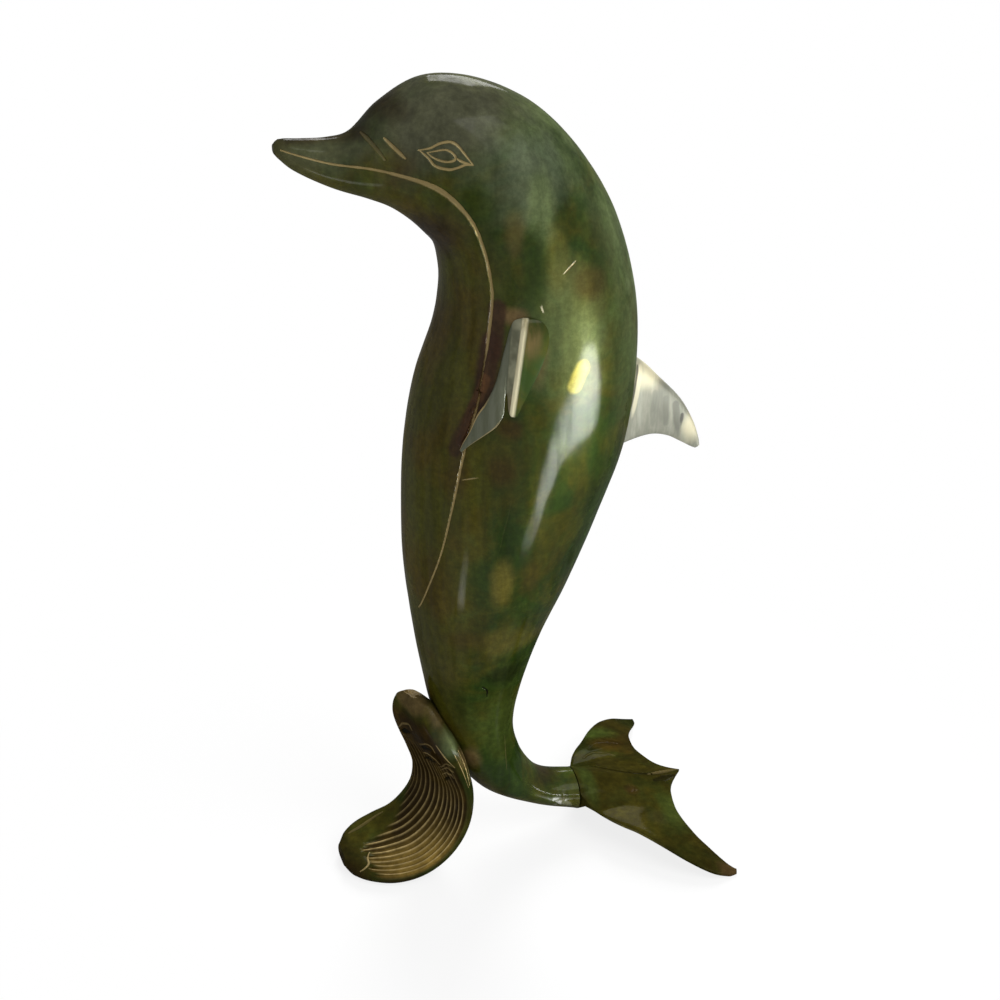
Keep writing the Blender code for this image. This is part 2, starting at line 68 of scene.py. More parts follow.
# The body is lofted through ribs. Each rib is an oval with a point on the back and a point on the
# belly, both on the grid, and a share of the body's width.
Rib = namedtuple("Rib", "back belly width")
BODY_RIBS = [
    Rib((-100.0, 375.5), (-100.0, 371.5), 0.054),
    Rib((-97.5, 377.5), (-98.5, 369.5), 0.098),
    Rib((-88.0, 377.0), (-92.0, 363.5), 0.152),
    Rib((-76.0, 376.5), (-76.0, 354.5), 0.217),
    Rib((-66.0, 378.5), (-62.0, 349.0), 0.304),
    Rib((-53.0, 390.0), (-52.0, 344.5), 0.435),
    Rib((-33.0, 399.0), (-43.0, 338.0), 0.609),
    Rib((-9.5, 396.2), (-36.0, 331.0), 0.739),
    Rib((16.0, 383.2), (-30.2, 323.7), 0.826),
    Rib((37.0, 361.0), (-27.5, 312.0), 0.870),
    Rib((52.5, 334.0), (-27.5, 299.5), 0.913),
    Rib((62.5, 299.0), (-30.8, 283.0), 0.957),
    Rib((64.5, 264.0), (-40.0, 258.0), 1.000),
    Rib((60.0, 225.0), (-45.5, 229.0), 1.000),
    Rib((48.0, 190.0), (-47.5, 198.0), 0.935),
    Rib((34.5, 156.0), (-47.5, 166.0), 0.826),
    Rib((20.0, 124.0), (-44.5, 135.0), 0.674),
    Rib((10.0, 94.5), (-40.0, 105.0), 0.543),
    Rib((6.0, 71.0), (-35.0, 80.0), 0.435),
    Rib((9.5, 53.0), (-26.0, 54.0), 0.370),
    Rib((17.0, 39.0), (-11.0, 32.0), 0.326),
    Rib((26.0, 31.5), (15.0, 16.5), 0.283),
    Rib((40.0, 28.5), (40.0, 7.0), 0.261),
]
RING_SPACING = 0.0024
BODY_SIDES = 120
SEAT_SIDES = 96
SEAT_SPACING = 0.004

# A line engraved on both flanks: its route over the grid and the radius of the cut at its middle.
Line = namedtuple("Line", "route radius")
MOUTH_LINE = Line([
    (-97.5, 374.0), (-90.3, 371.5), (-76.7, 367.5), (-60.6, 365.3), (-50.5, 363.0), (-41.2, 360.2),
    (-35.2, 357.1), (-29.0, 351.5), (-22.4, 342.5), (-17.8, 331.1), (-15.1, 319.9), (-13.9, 307.5),
    (-16.5, 285.0), (-21.5, 262.0), (-27.8, 237.2), (-33.2, 207.3), (-37.1, 184.7), (-41.6, 163.5),
    (-44.3, 147.5),
], 0.0008)
UPPER_LID = Line([
    (-43.5, 374.6), (-39.0, 375.7), (-35.0, 377.6), (-30.9, 378.2), (-28.3, 376.9), (-26.1, 374.1),
    (-22.4, 368.8),
], 0.0007)
LOWER_LID = Line([
    (-43.0, 374.5), (-40.1, 371.7), (-37.5, 368.4), (-32.2, 367.0), (-29.0, 367.7), (-25.5, 369.0),
    (-22.8, 368.9),
], 0.0007)
IRIS = Line([
    (-40.3, 373.8), (-36.8, 374.6), (-33.2, 375.1), (-30.9, 374.2), (-29.2, 371.8), (-30.4, 370.6),
    (-33.1, 370.2), (-36.3, 371.0), (-38.8, 372.4),
], 0.0006)
EYE_CORNER = Line([(-29.2, 371.8), (-26.9, 370.3), (-23.6, 369.2)], 0.0006)
FRONT_BEAK_FOLD = Line([(-63.5, 379.2), (-62.0, 377.6), (-59.5, 374.3), (-56.2, 369.8)], 0.0011)
REAR_BEAK_FOLD = Line([(-55.8, 378.4), (-52.3, 374.6), (-48.7, 370.9)], 0.0010)
# How wide an open line is at its ends, as a share of its width at its middle.
LINE_END_WIDTH = 0.5
LINES = [MOUTH_LINE, UPPER_LID, LOWER_LID, IRIS, EYE_CORNER, FRONT_BEAK_FOLD, REAR_BEAK_FOLD]
LINE_POINT_SPACING = 0.0003

# A blade is lofted through chords. Each chord runs from its leading edge to its trailing edge, both on
# the grid, and has shares of the blade's thickness: its own thickness and how far its middle stands off
# the flank.
Chord = namedtuple("Chord", "leading trailing thickness stand_off", defaults=[0])
DORSAL_FIN_THICKNESS = 0.0100
DORSAL_FIN_CHORDS = [
    Chord((54.0, 264.5), (54.0, 211.0), 1.00),
    Chord((68.5, 257.2), (65.5, 215.0), 0.92),
    Chord((79.8, 246.0), (76.0, 216.8), 0.76),
    Chord((90.5, 234.2), (84.5, 215.0), 0.60),
    Chord((97.5, 222.0), (91.5, 211.0), 0.44),
    Chord((101.2, 211.8), (97.5, 207.2), 0.30),
    Chord((102.0, 207.5), (99.8, 206.0), 0.18),
]
# The flippers grow out of the flanks to a ridge, step down again in front of it and lie back along the
# flanks to their tips.
FLIPPER_THICKNESS = 0.0060
FLIPPER_CHORDS = [
    Chord((14.0, 299.0), (6.0, 254.0), 0.80, -0.42),
    Chord((8.0, 300.0), (0.5, 254.5), 0.85, -0.27),
    Chord((2.5, 300.6), (-4.5, 255.4), 0.95, -0.10),
    Chord((-1.3, 301.0), (-8.5, 256.2), 1.00, 0.07),
    Chord((-2.8, 300.8), (-9.4, 257.2), 0.88, 0.00),
    Chord((-6.2, 299.0), (-10.8, 258.4), 0.50, -0.06),
    Chord((-10.0, 286.0), (-11.8, 256.8), 0.46, 0.05),
    Chord((-14.4, 271.4), (-13.4, 253.8), 0.44, 0.14),
    Chord((-18.7, 262.4), (-15.8, 250.8), 0.40, 0.20),
    Chord((-22.4, 256.3), (-19.2, 247.8), 0.36, 0.24),
    Chord((-25.6, 248.4), (-23.2, 244.4), 0.32, 0.27),
    Chord((-28.3, 242.6), (-26.6, 241.0), 0.27, 0.28),
    Chord((-29.7, 238.8), (-29.0, 238.0), 0.18, 0.28),
]
# Its chords, counted from the root, between which it is a ridge, then a front face, then a blade.
FLIPPER_RIDGE = ((2.55, 2.95), (3.75, 4.05))
FLIPPER_FRONT = ((3.75, 4.05), (5.00, 5.30))
FLIPPER_BLADE = (4.95, 5.25)
BLADE_RINGS_PER_SPAN = 12
BLADE_SIDES = 72
# A blade's section is an oval of this fullness, squarer for a lower power, and made fuller in front and
# thinner behind by the taper.
BLADE_FULLNESS = 0.8
BLADE_OVAL_POWER = 0.7
BLADE_TAPER = 0.45

# The flukes meet the stalk at its last rib. Beyond the stalk their leading edge sweeps out to the tip,
# and their trailing edge runs from the tip back to a point on the middle plane. Each point has its x
# and z on the grid and, between them, its share of half the span.
FLUKE_LEADING_EDGE = [
    (45.5, 0.272, 15.0), (50.0, 0.395, 14.8), (54.5, 0.483, 14.5), (60.5, 0.578, 13.8),
    (69.0, 0.735, 11.8), (79.0, 0.891, 8.0), (89.0, 0.986, 4.0), (97.5, 1.000, 1.2), (102.2, 0.986, 0.4),
]
FLUKE_TRAILING_POINT = [
    (100.5, 0, 15.5), (96.0, 0.061, 14.7), (92.5, 0.122, 14.2), (90.0, 0.190, 13.8), (88.5, 0.259, 13.5),
]
FLUKE_TRAILING_EDGE = [
    (87.5, 0.327, 13.0), (87.0, 0.401, 12.2), (87.5, 0.476, 11.2), (88.8, 0.558, 9.8),
    (90.8, 0.653, 8.0), (93.7, 0.741, 6.0), (97.0, 0.823, 3.5), (100.5, 0.898, 1.2), (103.0, 0.946, 0.4),
]
FLUKE_HALF_THICKNESS = 0.0020
FLUKE_EDGE_HALF_THICKNESS = 0.0007
FLUKE_ROWS_PER_SPAN = 8
FLUKE_STEPS = 44
# Share of the way to the trailing edge over which the stalk's depth fades out.
FLUKE_ROOT_FADE = 0.8
# Below 1, this puts the blade's fullest place before the middle.
FLUKE_FULLEST_POWER = 0.7
# A height on the grid that is above the flukes.
ABOVE_FLUKES = 60

# The wave is a fluted plate that curls up from its toe to its crest. Its stations are points of its
# middle line, with x and z on the grid and how far aside it is as a share of the wave's width. Each
# has shares of the plate's thickness and width, and two angles in degrees: how far the plate turns its
# face to the dolphin's left, and how far its right rim is lifted.
WAVE_THICKNESS = 0.018
Station = namedtuple("Station", "x z aside thickness width turn lift")
WAVE_STATIONS = [
    Station(-45.5, 93.0, 0.000, 0.39, 0.185, 21, 0),
    Station(-45.5, 89.5, 0.000, 0.72, 0.352, 21, 0),
    Station(-43.3, 78.5, 0.000, 0.94, 0.574, 21, 0),
    Station(-38.5, 66.0, 0.000, 1.00, 0.722, 21, 0),
    Station(-34.0, 53.0, -0.009, 0.89, 0.789, 21, 0),
    Station(-31.3, 40.0, -0.019, 0.73, 0.852, 20, 1),
    Station(-33.3, 27.0, -0.037, 0.67, 0.907, 17, 3),
    Station(-40.0, 16.5, -0.052, 0.67, 0.963, 12, 5),
    Station(-50.0, 8.8, -0.056, 0.69, 1.000, 6, 5),
    Station(-62.0, 5.6, -0.052, 0.73, 0.981, 2, 4),
    Station(-73.0, 4.9, -0.046, 0.69, 0.833, 0, 3),
    Station(-81.0, 4.8, -0.046, 0.61, 0.574, 0, 2),
    Station(-85.2, 5.5, -0.046, 0.32, 0.296, 0, 1),
]
# The plate's section is a squared oval, whose face is dished by a share of its half thickness.
WAVE_SQUARENESS = 4
WAVE_DISH = 0.35
WAVE_FLUTES = 16
WAVE_FLUTE_DEPTH = 0.0008
WAVE_POINTS_PER_FLUTE = 10
# Where the flutes fade in and out, as shares of the way from crest to toe.
FLUTES_BEGIN = (0.24, 0.34)
FLUTES_END = (0.81, 0.85)
# How much the flutes' ends differ, as a share of the way, and the angle that sets them apart in turn.
FLUTE_RAGGEDNESS = 0.018
FLUTE_RAG_TURN = 2.4
# Below 1, this power makes the flutes round valleys with sharp ridges between them.
FLUTE_SHARPNESS = 0.8
# How much the flutes crowd towards the rims, from 0 for even ones to 1.
FLUTE_CROWDING = 0.6
# Where they fade in across the face, from -1 at its left rim to 1 at its right rim.
FLUTES_LEFT_RIM = (-1.0, -0.94)
# The right rim's smooth border starts here, and widens by the spread towards the toe.
FLUTES_RIGHT_RIM = 0.85
FLUTES_RIGHT_FADE = 0.15
TOE_BORDER_SPREAD = 0.9
TOE_BORDER_BEGINS = (0.4, 0.85)
WAVE_BACK_POINTS = 40
WAVE_RINGS_PER_SPAN = 14

# A carved mark has its route, the radius that it reaches and its height in metres, below 0 for a groove,
# and how bare it is worn, below 0 where it is darkened near black instead.
Mark = namedtuple("Mark", "route radius height bare")
# The wave's marks: wavelets and the hollows under them, a swirl, the rim's fan of lines, the toe's rim and
# the jagged end of the flutes. Their places are shares of the way along the wave's rings and around them.
WAVE_MARKS = [
    Mark([(0.220, 0.585), (0.190, 0.500), (0.179, 0.435), (0.173, 0.370), (0.190, 0.360)],
         0.0008, 0.0005, 0.30),
    Mark([(0.244, 0.570), (0.224, 0.500), (0.214, 0.440)], 0.0020, -0.0012, -0.9),
    Mark([(0.250, 0.365), (0.220, 0.240), (0.208, 0.160), (0.214, 0.110), (0.238, 0.110)],
         0.0006, 0.0004, 0.30),
    Mark([(0.262, 0.350), (0.236, 0.230), (0.232, 0.160)], 0.0014, -0.0008, -0.8),
    Mark([(0.292, 0.385), (0.268, 0.275), (0.268, 0.190), (0.286, 0.150)], 0.0006, 0.0004, 0.38),
    Mark([(0.321, 0.405), (0.308, 0.330), (0.296, 0.240)], 0.0016, -0.0010, -0.9),
    Mark([(0.310, 0.220), (0.292, 0.120), (0.280, 0.055), (0.298, 0.010)], 0.0005, 0.0003, 0.25),
    Mark([(0.321, 0.205), (0.300, 0.110), (0.298, 0.070), (0.315, 0.035)], 0.0005, 0.0003, 0.28),
    Mark([(0.345, 0.230), (0.321, 0.130), (0.323, 0.090), (0.340, 0.070)], 0.0005, 0.0003, 0.30),
    Mark([(0.366, 0.220), (0.345, 0.150), (0.345, 0.110)], 0.0012, -0.0007, -0.7),
    Mark([(0.208, 0.045), (0.256, 0.035), (0.298, 0.008)], 0.0004, 0.0003, 0.45),
    Mark([(0.262, 0.992), (0.315, 0.993), (0.378, 0.994)], 0.00026, -0.0002, 0.9),
    Mark([(0.256, 0.976), (0.315, 0.978), (0.374, 0.987)], 0.00026, -0.0002, 1.0),
    Mark([(0.262, 0.960), (0.320, 0.963), (0.368, 0.979)], 0.00026, -0.0002, 0.9),
    Mark([(0.893, 0.600), (0.833, 0.590), (0.774, 0.615), (0.714, 0.645)], 0.0012, 0.0007, 0.25),
    Mark([(0.905, 0.020), (0.872, 0.110), (0.851, 0.175), (0.845, 0.250), (0.827, 0.315)],
         0.0006, 0.0005, 0.6),
]

# Marks on the left flank, with their places on the grid: a bead of braze, scratches and a dark nick.
NEAR_MARKS = [
    Mark([(-15.9, 284.0), (-19.0, 272.0), (-22.0, 261.0), (-26.0, 250.0), (-29.5, 241.0)],
         0.0021, 0.0010, 0),
    Mark([(15.4, 319.6), (21.3, 324.4)], 0.0004, -0.0002, 0.5),
    Mark([(-14.4, 183.6), (-8.4, 215.4)], 0.0004, -0.0001, 0.08),
    Mark([(-28.9, 223.9), (-22.7, 226.0)], 0.0004, -0.0002, 0.5),
    Mark([(-17.6, 107.1), (-15.0, 104.2), (-14.8, 100.2)], 0.0005, -0.0004, -0.9),
    Mark([(-2.6, 69.3), (-1.5, 48.3)], 0.0003, -0.0002, 0.25),
]
# The mouth line swells where it turns down at the cheek: by how much, where along it and over what share.
MOUTH_SWELL = 0.9
WIDEST_PLACE = 0.33
WIDE_STRETCH = 0.10
# How bare the engraved lines are worn, the beak's front fold less than the others.
LINE_BARENESS = 0.62
SOFT_FOLD_BARENESS = 0.28
# How deep an engraved line is, as a share of its radius.
LINE_DEPTH = 0.85
# How much the width of a mark wavers along it, and the scale of the noise that it wavers by.
MARK_WAVER = 0.18
MARK_WAVER_SCALE = 400

# The flukes' creases and ridges. Each place has its x on the grid and its y in millimetres.
FLUKE_MARKS = [
    # The middle crease and the fold by the notch are darkened near black as painted shade on their far
    # side; the ridge between them is tan, partly wear and partly a painted highlight on its lit edge.
    Mark([(46.0, 15.0), (53.0, 11.0), (62.0, 6.0), (74.0, 1.0), (84.0, -1.0)], 0.0013, -0.0008, -0.55),
    Mark([(82.0, -1.0), (90.0, -0.6), (99.0, 0.0)], 0.0011, 0.0008, 0.25),
    Mark([(84.0, -5.5), (91.0, -4.5), (97.0, -3.5)], 0.0022, -0.0007, -0.5),
    Mark([(55.0, 25.0), (61.0, 28.5), (68.0, 27.5), (73.0, 24.0)], 0.0012, 0.0003, 0.10),
    Mark([(62.0, 33.0), (70.0, 37.0), (78.0, 36.0)], 0.0030, -0.0003, -0.3),
    Mark([(66.0, -10.0), (70.0, -11.5)], 0.0030, -0.0004, -0.3),
]

# A mesh is halved within these margins of its marks, one round after the other.
BODY_MARGINS = (0.0016, 0.0008, 0.0003)
SMALL_MARGINS = (0.0014, 0.0006)
# How far the castings' surfaces waver, and the scales and shares of the noises that they waver by.
BODY_UNEVENNESS = 0.0002
SMALL_UNEVENNESS = 0.00012
UNEVEN_SCALES = ((34, 0.7), (110, 0.3))
# Keeps the wavering surface just inside its solid.
UNEVEN_SINK = 0.8
# A raised mark higher than this is rough, such as the bead of braze.
ROUGH_ABOVE = 0.0009
ROUGHNESS_SCALE = 700
# The lip that a groove throws up beside it: its height as a share of the depth, and how many radii it ends
# from the groove's middle.
LIP_HEIGHT = 0.12
LIP_END = 1.8
# The shares of a mark's radius between which its bare metal gives way to patina.
BARE_EDGE = (0.70, 1.10)

# The solids are set with the figure's middle at X = 0, so the forms above are moved along X to match.
FLUKES_END = max(x for x, _, _ in FLUKE_TRAILING_EDGE) * FIGURE_LENGTH / GRID_LENGTH
STAND_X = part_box("tail_flukes")[1].x - FLUKES_END
STAND = Vector((STAND_X, 0, 0))

# The camera, from the photo's perspective.
CAMERA_TARGET = Vector((0, 0, 0.193)) + STAND
CAMERA_AZIMUTH = radians(-18)
CAMERA_ELEVATION = radians(27)
CAMERA_DISTANCE = 0.900
CAMERA_LENS = 68.04
SHARP_EDGE = radians(40)

# What the world gives a surface that doesn't mirror it.
WORLD_LEVEL = 0.42
FLOOR_SIZE = 16
FLOOR_DROP = 0.0002
FLOOR_COLOUR = (0.90, 0.90, 0.90)
# The floor keeps the shadow up to the first distance from the figure's middle and is white from the second
# on. The last two numbers are how white it is there.
FLOOR_CLEARING = (0.08, 0.30, 0.82, 1.0)
LAMPS_FACE = Vector((0, 0, 0.2))

# The strips of light on the floor that the lacquer mirrors: one long one to the right, a faint one to the
# left, and a spot under the stalk. A row has its left edge, middle and right edge in millimetres, and its
# strength.
LONG_GLOW = [
    ((691, -911), (754, -810), (820, -711), 0), ((613, -863), (700, -727), (769, -583), 30),
    ((506, -814), (616, -650), (691, -469), 62), ((379, -732), (508, -526), (589, -306), 62),
    ((285, -710), (439, -495), (533, -251), 62), ((206, -636), (365, -450), (465, -225), 50),
    ((160, -582), (297, -446), (393, -280), 46), ((130, -518), (213, -446), (282, -368), 38),
    ((112, -456), (172, -411), (225, -356), 30), ((93, -407), (142, -372), (188, -329), 30),
    ((76, -346), (110, -326), (143, -297), 24), ((54, -294), (87, -276), (120, -249), 15),
    ((41, -259), (70, -244), (100, -223), 8), ((40, -233), (59, -223), (78, -211), 0),
]
SIDE_GLOW = [
    ((-262, -222), (-252, -231), (-242, -240), 0), ((-243, -191), (-225, -208), (-205, -221), 5),
    ((-212, -156), (-196, -173), (-175, -186), 8), ((-183, -126), (-167, -144), (-146, -157), 9),
    ((-162, -98), (-147, -115), (-131, -127), 0),
]
STALK_GLOW = [
    ((60, -70), (68, -64), (76, -58), 0), ((29, -40), (36, -36), (42, -30), 14),
    ((29, -27), (34, -22), (40, -18), 12), ((31, -5), (34, -5), (38, -5), 0),
]
# How bright a strip is across its width: a share of the way and a share of its strength.
GLOW_ACROSS = [(0, 0), (0.25, 0.75), (0.5, 1), (0.85, 0.9), (1, 0)]
GLOW_HEIGHT = 0.0005


def on_grid(x, z, y=0):
    """A point of the side view, given in squares, at its real place before the move along X."""
    return np.array([x * FIGURE_LENGTH / GRID_LENGTH, y, z * FIGURE_HEIGHT / GRID_HEIGHT])


def spline(rows, steps, measured=None):
    """A smooth curve through rows of numbers, with one number of steps for all spans or one for each."""
    rows = np.array(rows, float)
    last = len(rows) - 1
    if isinstance(steps, int):
        steps = [steps] * last
    curve = []
    for index in range(last):
        start, end = rows[index], rows[index + 1]
        before = rows[index - 1] if index else start * 2 - end
        after = rows[index + 2] if index + 2 <= last else end * 2 - start
        pairs = (before, start), (start, end), (end, after)
        reach = [np.linalg.norm((other - one)[:measured]) for one, other in pairs]
        leave = (end - before) * reach[1] / (reach[0] + reach[1])
        arrive = (after - start) * reach[1] / (reach[1] + reach[2])
        t = (np.arange(steps[index]) / steps[index])[:, None]
        curve.append(
            start * (2 * t ** 3 - 3 * t ** 2 + 1) + leave * (t ** 3 - 2 * t ** 2 + t)
            + end * (3 * t ** 2 - 2 * t ** 3) + arrive * (t ** 3 - t ** 2)
        )
    curve.append(rows[last:])
    return np.concatenate(curve)


def smooth_step(low, high, value):
    t = np.clip((value - low) / (high - low), 0, 1)
    return t * t * (3 - 2 * t)


def zone(begin, end, value):
    """1 between two limits, each given as the low and the high end of a smooth step."""
    return smooth_step(*begin, value) * (1 - smooth_step(*end, value))


def lofted(name, rings):
    """A closed mesh through rings of as many points each, with a fan over each end, facing outwards."""
    count, sides = rings.shape[:2]
    points = rings.reshape(-1, 3) + np.array(STAND)
    low = np.arange(count - 1)[:, None] * sides + np.arange(sides)[None, :]
    follow = np.arange(count - 1)[:, None] * sides + (np.arange(sides)[None, :] + 1) % sides
    quads = np.stack([low, follow, follow + sides, low + sides], -1).reshape(-1, 4)
    faces = quads.tolist()
    ends = []
    for row, turn in ((0, -1), (count - 1, 1)):
        centre = count * sides + len(ends)
        ends.append(points[row * sides:(row + 1) * sides].mean(0))
        for step in range(sides):
            edge = (row * sides + step, row * sides + (step + 1) % sides)[::turn]
            faces.append([*edge, centre])
    data = bpy.data.meshes.new(name)
    data.from_pydata(np.concatenate([points, ends]).tolist(), [], faces)
    data.update()
    mesh = bmesh.new()
    mesh.from_mesh(data)
    bmesh.ops.recalc_face_normals(mesh, faces=mesh.faces)
    mesh.to_mesh(data)
    mesh.free()
    return data


def new_piece(name, data):
    piece = bpy.data.objects.new(name, data)
    bpy.context.scene.collection.objects.link(piece)
    return piece


def finish_piece(piece, material, slot, *nodes):
    piece.data.shade_smooth()
    piece.data.set_sharp_from_angle(angle=SHARP_EDGE)
    piece.data.materials.clear()
    piece.data.materials.append(material)
    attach(piece, "root")
    if nodes:
        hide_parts(*nodes)


def body_rings(spacing, sides):
    rows = [(*on_grid(*rib.back), *on_grid(*rib.belly), rib.width * BODY_WIDTH / 2) for rib in BODY_RIBS]
    steps = []
    for one, other in zip(np.array(rows), np.array(rows[1:])):
        reach = max(np.linalg.norm((one - other)[0:3]), np.linalg.norm((one - other)[3:6]))
        steps.append(max(2, ceil(reach / spacing)))
    curve = spline(rows, steps)
    back, belly = curve[:, 0:3], curve[:, 3:6]
    side = curve[:, 6:7] * np.array([0, 1, 0])
    turns = 2 * pi * np.arange(sides) / sides
    middle, reach = (back + belly) / 2, (back - belly) / 2
    return (middle[:, None] + reach[:, None] * np.cos(turns)[None, :, None]
            + side[:, None] * np.sin(turns)[None, :, None])


def grown_seat():
    """A plain body grown by the seat gap, to cut its neighbours with."""
    data = lofted("seat", body_rings(SEAT_SPACING, SEAT_SIDES))
    for vertex, normal in zip(data.vertices, [v.normal.copy() for v in data.vertices]):
        vertex.co += normal * SEAT_GAP
    return new_piece("seat", data)


def cut(piece, cutter):
    """Cut the piece by the cutter and keep the result as its mesh."""
    modifier = piece.modifiers.new("cut", "BOOLEAN")
    modifier.operation = "DIFFERENCE"
    modifier.solver = "EXACT"
    modifier.object = cutter
    evaluated = piece.evaluated_get(bpy.context.evaluated_depsgraph_get())
    result = bpy.data.meshes.new_from_object(evaluated)
    piece.modifiers.clear()
    piece.data = result


def surface_tree(data):
    return BVHTree.FromPolygons([v.co for v in data.vertices], [p.vertices for p in data.polygons])


def on_flank(tree, x, z, side):
    """A point of the grid, dropped on the placed body's flank from its left (-1) or its right (1)."""
    return tree.ray_cast(Vector(on_grid(x, z, side)) + STAND, Vector((0, -side, 0)))[0]


def spot(x, y, z):
    """A placed point, from the grid's x and z and from y in millimetres."""
    return Vector(on_grid(x, z, y / 1000)) + STAND


def close_points(places, mark, swell=0):
    """Close points along a route of places, with the radius, height and bareness of the mark at each."""
    length = sum((one - other).length for one, other in zip(places, places[1:]))
    fine = spline(places, max(2, ceil(length / LINE_POINT_SPACING / (len(places) - 1))))
    share = np.arange(len(fine)) / (len(fine) - 1)
    ends = LINE_END_WIDTH + (1 - LINE_END_WIDTH) * np.sin(pi * share)
    ends += swell * np.exp(-((share - WIDEST_PLACE) / WIDE_STRETCH) ** 2)
    found = []
    for place, end in zip(fine, ends):
        waver = 1 + MARK_WAVER * noise.noise(Vector(place) * MARK_WAVER_SCALE)
        found.append((Vector(place), mark.radius * end * waver, mark.height * end, mark.bare))
    return found


def body_marks(tree):
    found = []
    for line in LINES:
        route = line.route + line.route[:1] if line is IRIS else line.route
        bare = SOFT_FOLD_BARENESS if line is FRONT_BEAK_FOLD else LINE_BARENESS
        mark = Mark(route, line.radius, -LINE_DEPTH * line.radius, bare)
        fine = spline(route, 6)
        swell = MOUTH_SWELL if line is MOUTH_LINE else 0
        for side in (-1, 1):
            found += close_points([on_flank(tree, x, z, side) for x, z in fine], mark, swell)
    for mark in NEAR_MARKS:
        fine = spline(mark.route, 4)
        found += close_points([on_flank(tree, x, z, -1) for x, z in fine], mark)
    return found


def nearest_tree(places):
    tree = kdtree.KDTree(len(places))
    for index, place in enumerate(places):
        tree.insert(place, index)
    tree.balance()
    return tree


def near_edges(mesh, tree, points, margin):
    """The edges of the faces that lie within a mark's radius and a margin of it."""
    edges = set()
    for face in mesh.faces:
        _, index, distance = tree.find(face.calc_center_median())
        if distance < points[index][1] + margin:
            edges.update(face.edges)
    return list(edges)


def carve(data, points, margins, unevenness):
    """Raise and press the marks in a mesh, refined near them, over a slightly uneven surface."""
    mesh = bmesh.new()
    mesh.from_mesh(data)
    tree = nearest_tree([point[0] for point in points])
    for margin in margins:
        edges = near_edges(mesh, tree, points, margin)
        bmesh.ops.subdivide_edges(mesh, edges=edges, cuts=1, use_grid_fill=True)
    mesh.normal_update()
    layer = mesh.verts.layers.float.new("bare")
    moves = []
    for vertex in mesh.verts:
        place = vertex.co
        uneven = sum(share * noise.noise(place * scale) for scale, share in UNEVEN_SCALES)
        rise = unevenness * (uneven - UNEVEN_SINK)
        _, index, distance = tree.find(place)
        _, radius, height, bare = points[index]
        share = distance / radius
        if share < 1:
            rough = 1 + 0.5 * noise.noise(place * ROUGHNESS_SCALE) if height > ROUGH_ABOVE else 1
            rise += height * rough * (1 - share ** 2) ** (0.5 if height < 0 else 1.2)
        elif share < LIP_END and height < 0:
            rise -= height * LIP_HEIGHT * sin(pi * (share - 1) / (LIP_END - 1))
        vertex[layer] = float(bare * (1 - smooth_step(*BARE_EDGE, share)))
        moves.append(vertex.normal * rise)
    for vertex, move in zip(mesh.verts, moves):
        vertex.co += move
    mesh.to_mesh(data)
    mesh.free()


def plain_body():
    rings = body_rings(RING_SPACING, BODY_SIDES)
    data = lofted("dolphin_body", rings)
    toward_back = np.cos(2 * pi * np.arange(BODY_SIDES) / BODY_SIDES)
    give_values(data, "toward_back", np.tile(toward_back, len(rings)))
    return data


def cut_with_values(piece, cutter):
    """Cut a piece, and give each point of the result the values of the nearest point before."""
    before = piece.data
    names = [layer.name for layer in before.attributes if layer.data_type == "FLOAT"]
    tree = nearest_tree([vertex.co for vertex in before.vertices])
    cut(piece, cutter)
    nearest = [tree.find(vertex.co)[1] for vertex in piece.data.vertices]
    for name in names:
        kept = [before.attributes[name].data[index].value for index in nearest]
        if name in piece.data.attributes:
            piece.data.attributes.remove(piece.data.attributes[name])
        piece.data.attributes.new(name, "FLOAT", "POINT").data.foreach_set("value", kept)


def give_values(data, name, rings_values):
    layer = data.attributes.new(name, "FLOAT", "POINT")
    layer.data.foreach_set("value", [*rings_values.ravel(), 0, 0])


def dorsal_fin_rings():
    sections = []
    for chord in DORSAL_FIN_CHORDS:
        half_thickness = chord.thickness * DORSAL_FIN_THICKNESS / 2
        sections.append((*on_grid(*chord.leading), *on_grid(*chord.trailing), half_thickness))
    return blade_rings(sections)


def flipper_rings(tree, side):
    """A flipper along the left (-1) or the right (1) flank, whose chords follow the flank."""
    sections = []
    for chord in FLIPPER_CHORDS:
        off = Vector((0, side * chord.stand_off * FLIPPER_THICKNESS, 0)) - STAND
        leading = on_flank(tree, *chord.leading, side) + off
        trailing = on_flank(tree, *chord.trailing, side) + off
        sections.append((*leading, *trailing, chord.thickness * FLIPPER_THICKNESS / 2))
    return blade_rings(sections)


def flipper_values(data, count):
    """Where the flipper's surface is its ridge, its front face, its blade and its leading edge."""
    row = (np.arange(count) / BLADE_RINGS_PER_SPAN)[:, None]
    along = ((1 - np.cos(2 * pi * np.arange(BLADE_SIDES) / BLADE_SIDES)) / 2)[None]
    even = np.ones_like(along)
    give_values(data, "ridge", zone(*FLIPPER_RIDGE, row) * even)
    give_values(data, "front", zone(*FLIPPER_FRONT, row) * even)
    give_values(data, "blade", smooth_step(*FLIPPER_BLADE, row) * even)
    leading = smooth_step(7.4, 8.6, row) * (1 - smooth_step(0.02, 0.07, along))
    trailing = 0.45 * smooth_step(6.5, 8.0, row) * smooth_step(0.93, 0.97, along)
    give_values(data, "edge", np.maximum(leading, trailing))


